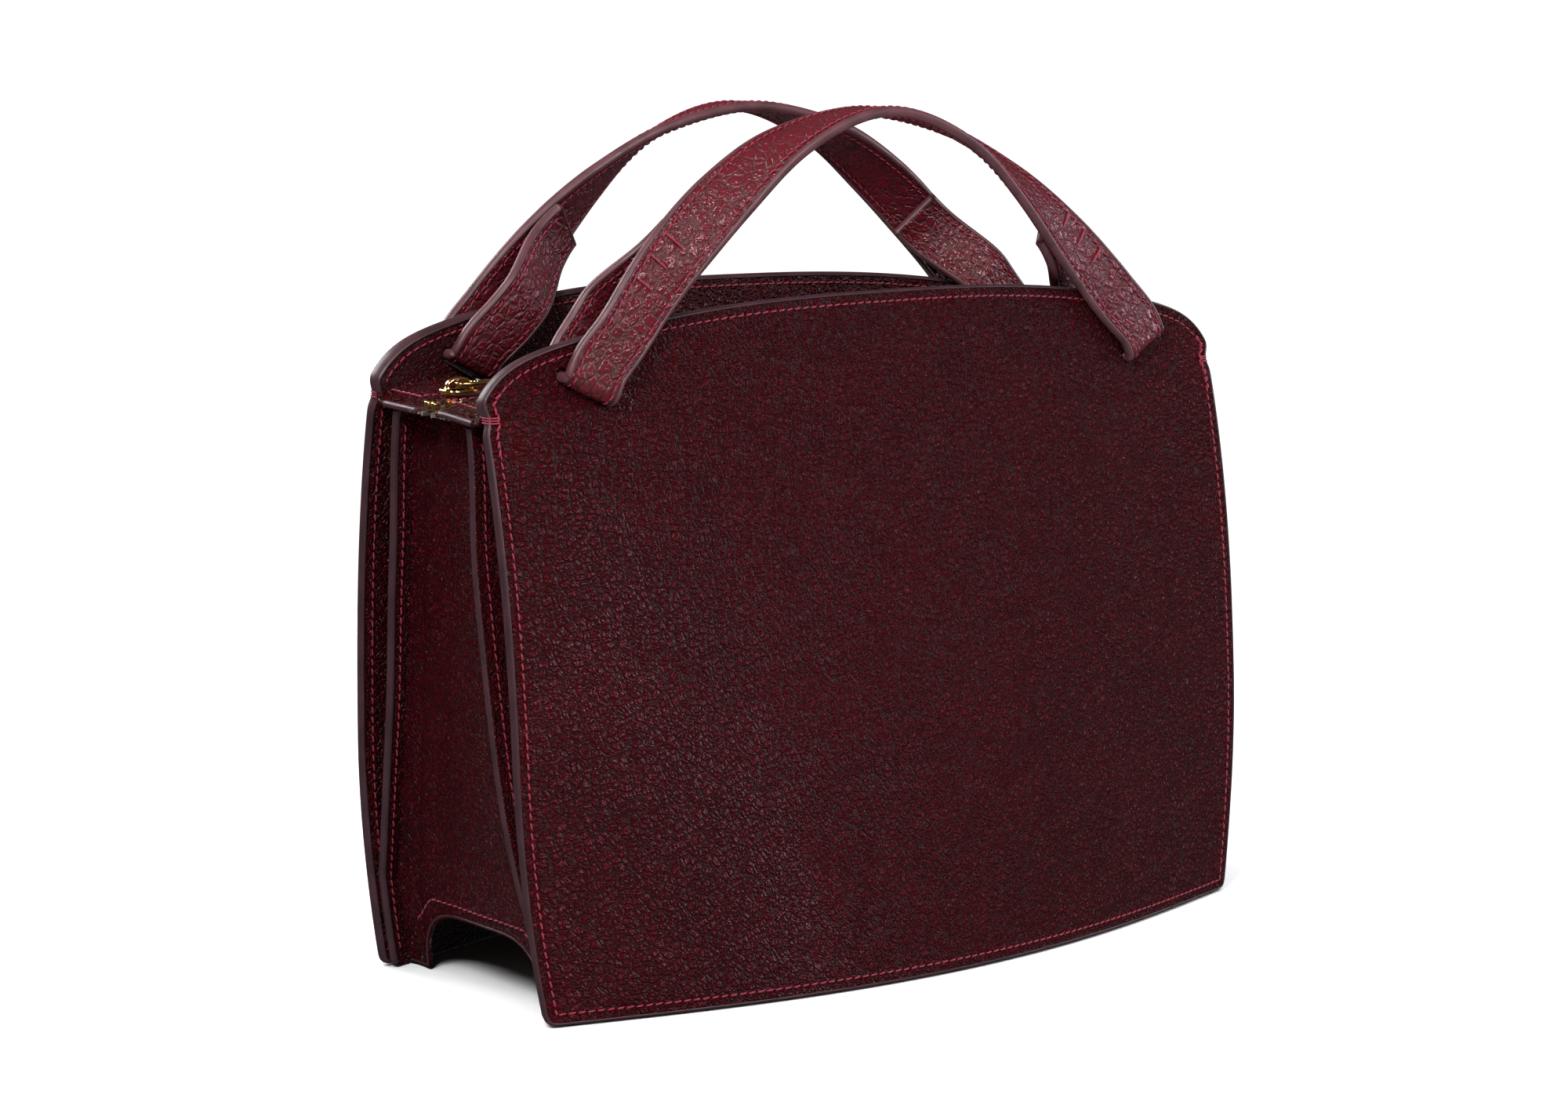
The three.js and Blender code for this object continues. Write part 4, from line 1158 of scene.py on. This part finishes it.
def zip_slider():
    """Two plates joined by a web, with an arched bridge over them that holds the puller."""
    low, high = node_box("zip_slider")
    (cx, cy, _), (lx, ly, _) = (low + high) / 2, high - low
    shape = oval(lx, ly, 3.4)
    shape[:, 1] *= np.where(shape[:, 0] > 0, 1 - 0.16 * (shape[:, 0] / (lx / 2)) ** 2, 1)
    shape = shape + np.array([cx, cy])
    cap = TEETH_Z + TEETH_T + CAP_CLEAR
    web_at = (low[0] + 2.6, cy, (cap + low[2]) / 2 + 0.4)
    a = np.linspace(0, math.pi, 15)
    foot, top = cap + PLATE_T - 0.2, high[2] - 0.6
    bridge = foot + (top - foot) * np.sin(a) ** 0.6
    path = np.stack([cx - BRIDGE_REACH * np.cos(a), np.full_like(a, cy), bridge], -1)
    across = np.broadcast_to(np.array([0, 1.0, 0]), path.shape)
    parts = [
        plate_mesh(shape, low[2], low[2] + PLATE_T, 0.4),
        plate_mesh(shape, cap, cap + PLATE_T + 0.2, 0.5),
        rounded_block(3.6, WEB_T, cap - low[2], web_at, 0.12, 2),
        sweep_mesh(path, across, unit(np.cross(tangents(path), across)), oval(2.6, 1.2, 2.8, 16)),
    ]
    placed("gold_slider", joined(parts), "gold", "slider", "zip_slider")


def zip_puller():
    """A flat waisted blade with an eye through it, skinned round its outside and back through the eye."""
    low, high = node_box("zip_puller")
    (_, cy, cz), (length, width, _) = (low + high) / 2, high - low
    count = 64
    a = np.arange(count) * 2 * math.pi / count
    along = (1 - np.cos(a)) / 2
    half = width / 2 * np.clip(1.0 - 0.22 * np.exp(-(((along - 0.42) / 0.12) ** 2)), 0, 1)
    outer = np.stack([along * length, np.sign(np.sin(a)) * np.abs(np.sin(a)) ** 0.35 * half], -1)
    outer = outer + np.array([low[0], cy])
    eye = oval(EYE_L, EYE_W, 2.6, count) * np.array([-1, 1])
    z0, z1 = cz - PULLER_T / 2, cz + PULLER_T / 2
    rings = plate_rings(outer, z0, z1, PULLER_R)
    for z, grow in ((z1, 1.045), (z1 - 0.3, 1.0), (z0 + 0.3, 1.0), (z0, 1.045)):
        rings.append(np.column_stack([np.array([low[0] + EYE_AT, cy]) + eye * grow, np.full(count, z)]))
    ids = grid_ids(len(rings), count)
    points = np.concatenate(rings)
    mesh = points, tube_faces(np.concatenate([ids, ids[:1]]), False), points[:, :2]
    placed("gold_puller", mesh, "gold", "puller", "zip_puller")


def bottom_stop():
    centre = (TEETH_X1 + 1.9, ZIP_Y + 2.2, TEETH_Z + TEETH_T / 2)
    stop = rounded_block(2.5, 2.6, TEETH_T, centre, 0.6, 4)
    placed("gold_bottom_stop", stop, "gold", "body", "zip_bottom_stop")


# ---- handles -----------------------------------------------------------------------------------
SLOT_UP = np.array([-math.sin(SLOT_TILT), 0, math.cos(SLOT_TILT)])
SLOT_MIDDLE = np.array([SLOT_X, 0, SLOT_Z])
LEG_POINTS = np.array(
    [
        SLOT_MIDDLE,
        SLOT_MIDDLE + 8 * SLOT_UP,
        (112, 0, 231),
        (92, 0, 252.5),
        (66, 0, 275.5),
        (38, 0, 293.5),
        (0, 0, HANDLE_TOP_Z),
        (-38, 0, 293.5),
    ]
)


def centripetal(points, per_span=400):
    """Centripetal Catmull-Rom curve through the points, finely sampled."""
    ends = [2 * points[0] - points[1], *points, 2 * points[-1] - points[-2]]
    out = []
    for i in range(len(points) - 1):
        p0, p1, p2, p3 = ends[i : i + 4]
        d0, d1, d2 = (np.linalg.norm(b - a) ** 0.5 for a, b in ((p0, p1), (p1, p2), (p2, p3)))
        t1 = ((p1 - p0) / d0 - (p2 - p0) / (d0 + d1) + (p2 - p1) / d1) * d1
        t2 = ((p2 - p1) / d1 - (p3 - p1) / (d1 + d2) + (p3 - p2) / d2) * d1
        w = np.linspace(0, 1, per_span, endpoint=i == len(points) - 2)[:, None]
        out.append(p1 + t1 * w + (-3 * p1 + 3 * p2 - 2 * t1 - t2) * w**2 + (2 * p1 - 2 * p2 + t1 + t2) * w**3)
    return np.concatenate(out)


LEG = centripetal(LEG_POINTS)
LEG_ALONG = lengths(LEG)
APEX_S = float(np.interp(0, -LEG[:, 0], LEG_ALONG))
LEG_OFF = HEAD_T / 2 + LEG_CLEAR + STRAP_T / 2
TAIL_OFF = HEAD_T / 2 + TAIL_CLEAR + STRAP_T / 2


def leg_point(s):
    return np.array([np.interp(s, LEG_ALONG, LEG[:, k]) for k in range(3)])


def leg_tangent(s):
    return unit(leg_point(s + 0.5) - leg_point(s - 0.5))


def leg_y(side, s):
    slot_y = side * (half_depth(SLOT_X, SLOT_Z) - HEAD_T / 2)
    over = side * (half_depth(110, 234) + STRAP_T / 2 + 1.8)
    near = lerp(slot_y + side * LEG_OFF, over, smooth(s, 0, 26))
    return lerp(near, side * HANDLE_Y, smooth(s, 44, APEX_S))


def leg_width(side, s):
    t = leg_tangent(s)
    turn = math.pi / 2 * smooth(s, 14, APEX_S)
    lean = -side * FACE_SLOPE * (1 - smooth(s, 4, 34))
    across = unit(np.array([t[2], lean, -t[0]]))
    return across * math.cos(turn) + np.array([0, -side * math.sin(turn), 0])


def tail_centre(side, s):
    n = unit(np.cross(leg_width(side, s), leg_tangent(s)))
    if n[1] * side > 0:
        n = -n
    k = smooth(s, 29, 64)
    along = unit(np.array([0, -side * (1 - k), 0]) + n * k)
    opened = LEG_OFF + TAIL_OFF + LOOP_BULGE * math.sin(math.pi * min(1, s / 54))
    p = leg_point(s)
    p[1] = leg_y(side, s)
    return p + along * lerp(opened, STRAP_T + GAP, k)


def handle_line(side):
    """Centres and width directions of a whole handle, from the right-hand tail's end round to the left one's,
    and how far along the leg each one lies, counted negative on the tail."""
    centre, width, mark = [], [], []

    def push(p, w, s):
        centre.append(p)
        width.append(w)
        mark.append(s)

    for s in np.concatenate([np.linspace(TAIL_L, 30, 37), np.linspace(29, FOLD_R, 26)]):
        push(tail_centre(side, s), leg_width(side, s), -s)
    slot_y = side * (half_depth(SLOT_X, SLOT_Z) - HEAD_T / 2)
    turns = range(15, 91, 15)
    for hand, off, bend in ((-1, TAIL_OFF, turns), (1, LEG_OFF, reversed(turns))):
        for turn in bend:
            a = math.radians(turn)
            p = SLOT_MIDDLE + SLOT_UP * FOLD_R * (1 - math.sin(a))
            p = np.array([p[0], slot_y + side * hand * (off - FOLD_R + FOLD_R * math.cos(a)), p[2]])
            push(p, leg_width(side, 0), -0.5 if hand < 0 else 0.5)
    for s in np.linspace(FOLD_R, APEX_S, 100):
        p = leg_point(s)
        p[1] = leg_y(side, s)
        push(p, leg_width(side, s), s)
    centre, width, mark = np.array(centre), np.array(width), np.array(mark)
    flip = np.array([-1, 1, 1])
    centre = np.concatenate([centre, (centre * flip)[-2::-1]])
    width = np.concatenate([width, (width * flip)[-2::-1]])
    mark = np.concatenate([mark, mark[-2::-1]])
    centre[:, 0] -= HANDLE_LEAN[side] * smooth(centre[:, 2], NOTCH_Z, LEAN_FULL_Z)
    t = tangents(centre)
    n = unit(np.cross(t, width))
    for _ in range(2):
        n[1:-1] = unit(n[:-2] + 2 * n[1:-1] + n[2:])
    w = unit(np.cross(n, t))
    return centre, w, n * side, mark


def strap_layer(where, name, node, high, low, seed):
    """One leather layer of the handle between two heights above its middle."""
    side = SIDES[where]
    centre, w, n, _ = handle_line(side)
    along = lengths(centre)
    across = spread(27, 1.5, -1, 1)
    half = STRAP_W / 2 - 1.0
    edge = half * (1 - np.abs(across))
    dip = -0.3 * np.exp(-(((edge - 2.6) / 0.9) ** 2)) - 0.3 * (1 - smooth(edge, 0, 1.4))
    crease = 0.16 * ripple(along[:, None] * 2.2, across[None] * half * 0.5, seed, 13)
    crease = crease * smooth(edge, 1.5, 5)[None]
    shape = dip[None] + crease + 0.12 * ripple(along[:, None], across[None] * half, seed + 1, 40)
    place_on = centre[:, None] + w[:, None] * (across * half)[None, :, None]
    up = math.copysign(1, high - low)
    outer = place_on + n[:, None] * (high + up * shape)[..., None]
    inner = place_on + n[:, None] * low
    uv = np.stack(np.broadcast_arrays(along[:, None] * 0.8, (across * half)[None] + 60 * seed), -1)
    wear = np.broadcast_to(np.exp(-edge / 2.5)[None], outer.shape[:2])
    points, faces, flat = sheet_mesh(outer, inner, uv, 0.15)
    weights = sheet_wear(wear)
    obj = piece(f"{where}_handle_{name}", points, faces, "strap", flat, weights)
    place(obj, f"{where}_handle", f"{where}_handle_{node}")


HOLD_AT = (41.0, 51.0, 61.0)
HOLD_PITCH, HOLD_L, HOLD_R = 8.4, 8.2, 0.42


def handle(where):
    side = SIDES[where]
    body = f"{where}_handle"
    centre, w, n, mark = handle_line(side)
    top, split = STRAP_T / 2, STRAP_T / 2 - STRAP_OUTER
    strap_layer(where, "leather", "strap", top, split, 101 + side)
    strap_layer(where, "underside", "lining", -top, split - 0.1, 111 + side)
    # painted edges down both sides and across the two square ends
    parts = []
    section = bead_section(STRAP_T, 1.3, 0.02)
    for hand in (-1, 1):
        path = centre + w * hand * (STRAP_W / 2) + n * top
        parts.append(sweep_mesh(path, w * hand, -n, section))
    for k, way in ((0, -1), (-1, 1)):
        t = tangents(centre)[k] * way
        s = np.linspace(-1, 1, 15)[:, None] * (STRAP_W / 2 - 0.9)
        path = centre[k] + w[k] * s + n[k] * top + t * 0.9
        out, down = (np.broadcast_to(v, path.shape) for v in (t, -n[k]))
        parts.append(sweep_mesh(path, out, down, section))
    # the straps' edges take the lighter copy of the edge paint: painted light
    placed(f"{where}_handle_painted_edge", joined(parts), "lit_strap_edge", body)
    # stitch rows along both edges, above and below, and the long stitches that hold each tail
    rows = []
    inside = STRAP_W / 2 - 3.5
    keep = slice(3, -3)
    for hand in (-1, 1):
        for face in (1, -1):
            path = centre + w * hand * inside + n * face * (top - 0.06)
            rows.append(stitch_row(path[keep], (n * face)[keep], slant=0.14 * hand))
    leg = np.where(mark >= FOLD_R)[0]
    for part in (leg[: len(leg) // 2], leg[len(leg) // 2 :]):
        for s in HOLD_AT:
            k = part[np.argmin(np.abs(mark[part] - s))]
            upper = 1 if w[k][2] > 0 else -1
            across = np.linspace(-0.4, STRAP_W / 2 - 3.0, 12)[:, None] * upper
            path = centre[k] + w[k] * across + n[k] * (top + 0.3)
            up = np.broadcast_to(n[k], path.shape)
            rows.append(stitch_row(path, up, HOLD_PITCH, HOLD_L, HOLD_R, 0.0))
    stitching(f"{where}_handle_stitching", body, rows)


for where in SIDES:
    facing(where)
    compartment_wall(where)
    zip_tape(where)
    zip_teeth(where)
    handle(where)
gusset("left", -1)
gusset("right", 1)
bottom()
board()
slip_pocket()
zip_slider()
zip_puller()
bottom_stop()


# ---- studio --------------------------------------------------------------------------------
SUN_POWER, SUN_ANGLE = 3.1, math.radians(70)
SKY_LIGHT, SKY_SEEN = 0.06, 1.15
BOXES = {  # place, width and height, power, color
    "front_box": ((0.12, -1.5, 1.0), (0.4, 0.4), 13, (1, 1, 1)),
    "left_box": ((-1.1, -0.7, 1.3), (0.5, 0.5), 24, (1, 1, 1)),
    "right_box": ((1.5, -0.6, 0.5), (0.6, 0.8), 9, (0.86, 0.9, 1)),
    "back_box": ((-0.5, 1.4, 1.0), (0.6, 0.6), 14, (1, 1, 1)),
}
AIM = Vector((0, 0, 0.12))


def area_light(name, at, size, power, color):
    data = bpy.data.lights.new(name, "AREA")
    data.shape = "RECTANGLE"
    data.size, data.size_y = size
    data.energy = power
    data.color = color
    obj = bpy.data.objects.new(name, data)
    obj.location = at
    obj.rotation_euler = (AIM - Vector(at)).to_track_quat("-Z", "Y").to_euler()
    bpy.context.scene.collection.objects.link(obj)


def studio():
    scene = bpy.context.scene
    scene.view_settings.view_transform = "Standard"
    scene.view_settings.look = "None"
    world = bpy.data.worlds.new("studio")
    world.use_nodes = True
    scene.world = world
    nodes, links = world.node_tree.nodes, world.node_tree.links
    background = nodes["Background"]
    seen = nodes.new("ShaderNodeLightPath")
    strength = nodes.new("ShaderNodeMapRange")
    strength.inputs["To Min"].default_value = SKY_LIGHT
    strength.inputs["To Max"].default_value = SKY_SEEN
    links.new(seen.outputs["Is Camera Ray"], strength.inputs["Value"])
    links.new(strength.outputs[0], background.inputs["Strength"])
    background.inputs["Color"].default_value = (1, 1, 1, 1)
    sky = bpy.data.lights.new("overhead", "SUN")
    sky.energy = SUN_POWER
    sky.angle = SUN_ANGLE
    top = bpy.data.objects.new("overhead", sky)
    top.visible_glossy = False
    scene.collection.objects.link(top)
    for name, settings in BOXES.items():
        area_light(name, *settings)
    bm = bmesh.new()
    bmesh.ops.create_circle(bm, cap_ends=True, segments=96, radius=0.85)
    mesh = bpy.data.meshes.new("floor")
    bm.to_mesh(mesh)
    bm.free()
    floor = bpy.data.objects.new("floor", mesh)
    floor.location = (0, 0, -0.0005)
    floor.visible_glossy = False
    n = Nodes("pale_floor")
    place_at = n.add("ShaderNodeTexCoord").outputs["Object"]
    cloud = n.noise(place_at, 3.0).outputs["Fac"]
    n.link(n.mix(cloud, rgb(0.93, 0.93, 0.93), rgb(0.9, 0.9, 0.9)), "Base Color")
    n.shader.inputs["Roughness"].default_value = 0.9
    n.shader.inputs["Specular IOR Level"].default_value = 0.1
    mesh.materials.append(n.material)
    scene.collection.objects.link(floor)


CAMERA_AT, CAMERA_TURN = (-0.7602, -0.9919, 0.3077), (36.97, 7.55, -0.77)
SENSOR_MM, LENS_MM = 36.0, 78.4962


def camera():
    """The photo's camera, as fitted to the corners of the bag: turned right, tipped down and rolled."""
    yaw, pitch, roll = (math.radians(angle) for angle in CAMERA_TURN)
    forward = Vector((math.sin(yaw) * math.cos(pitch), math.cos(yaw) * math.cos(pitch), -math.sin(pitch)))
    right = Vector((math.cos(yaw), -math.sin(yaw), 0))
    up = right.cross(forward)
    right2 = right * math.cos(roll) + up * math.sin(roll)
    up2 = up * math.cos(roll) - right * math.sin(roll)
    data = bpy.data.cameras.new("camera")
    data.sensor_width = SENSOR_MM
    data.lens = LENS_MM
    data.clip_start = 0.05
    obj = bpy.data.objects.new("camera", data)
    m = obj.matrix_world.copy()
    for row in range(3):
        m[row] = (right2[row], up2[row], -forward[row], CAMERA_AT[row])
    obj.matrix_world = m
    bpy.context.scene.collection.objects.link(obj)
    bpy.context.scene.camera = obj


studio()
camera()
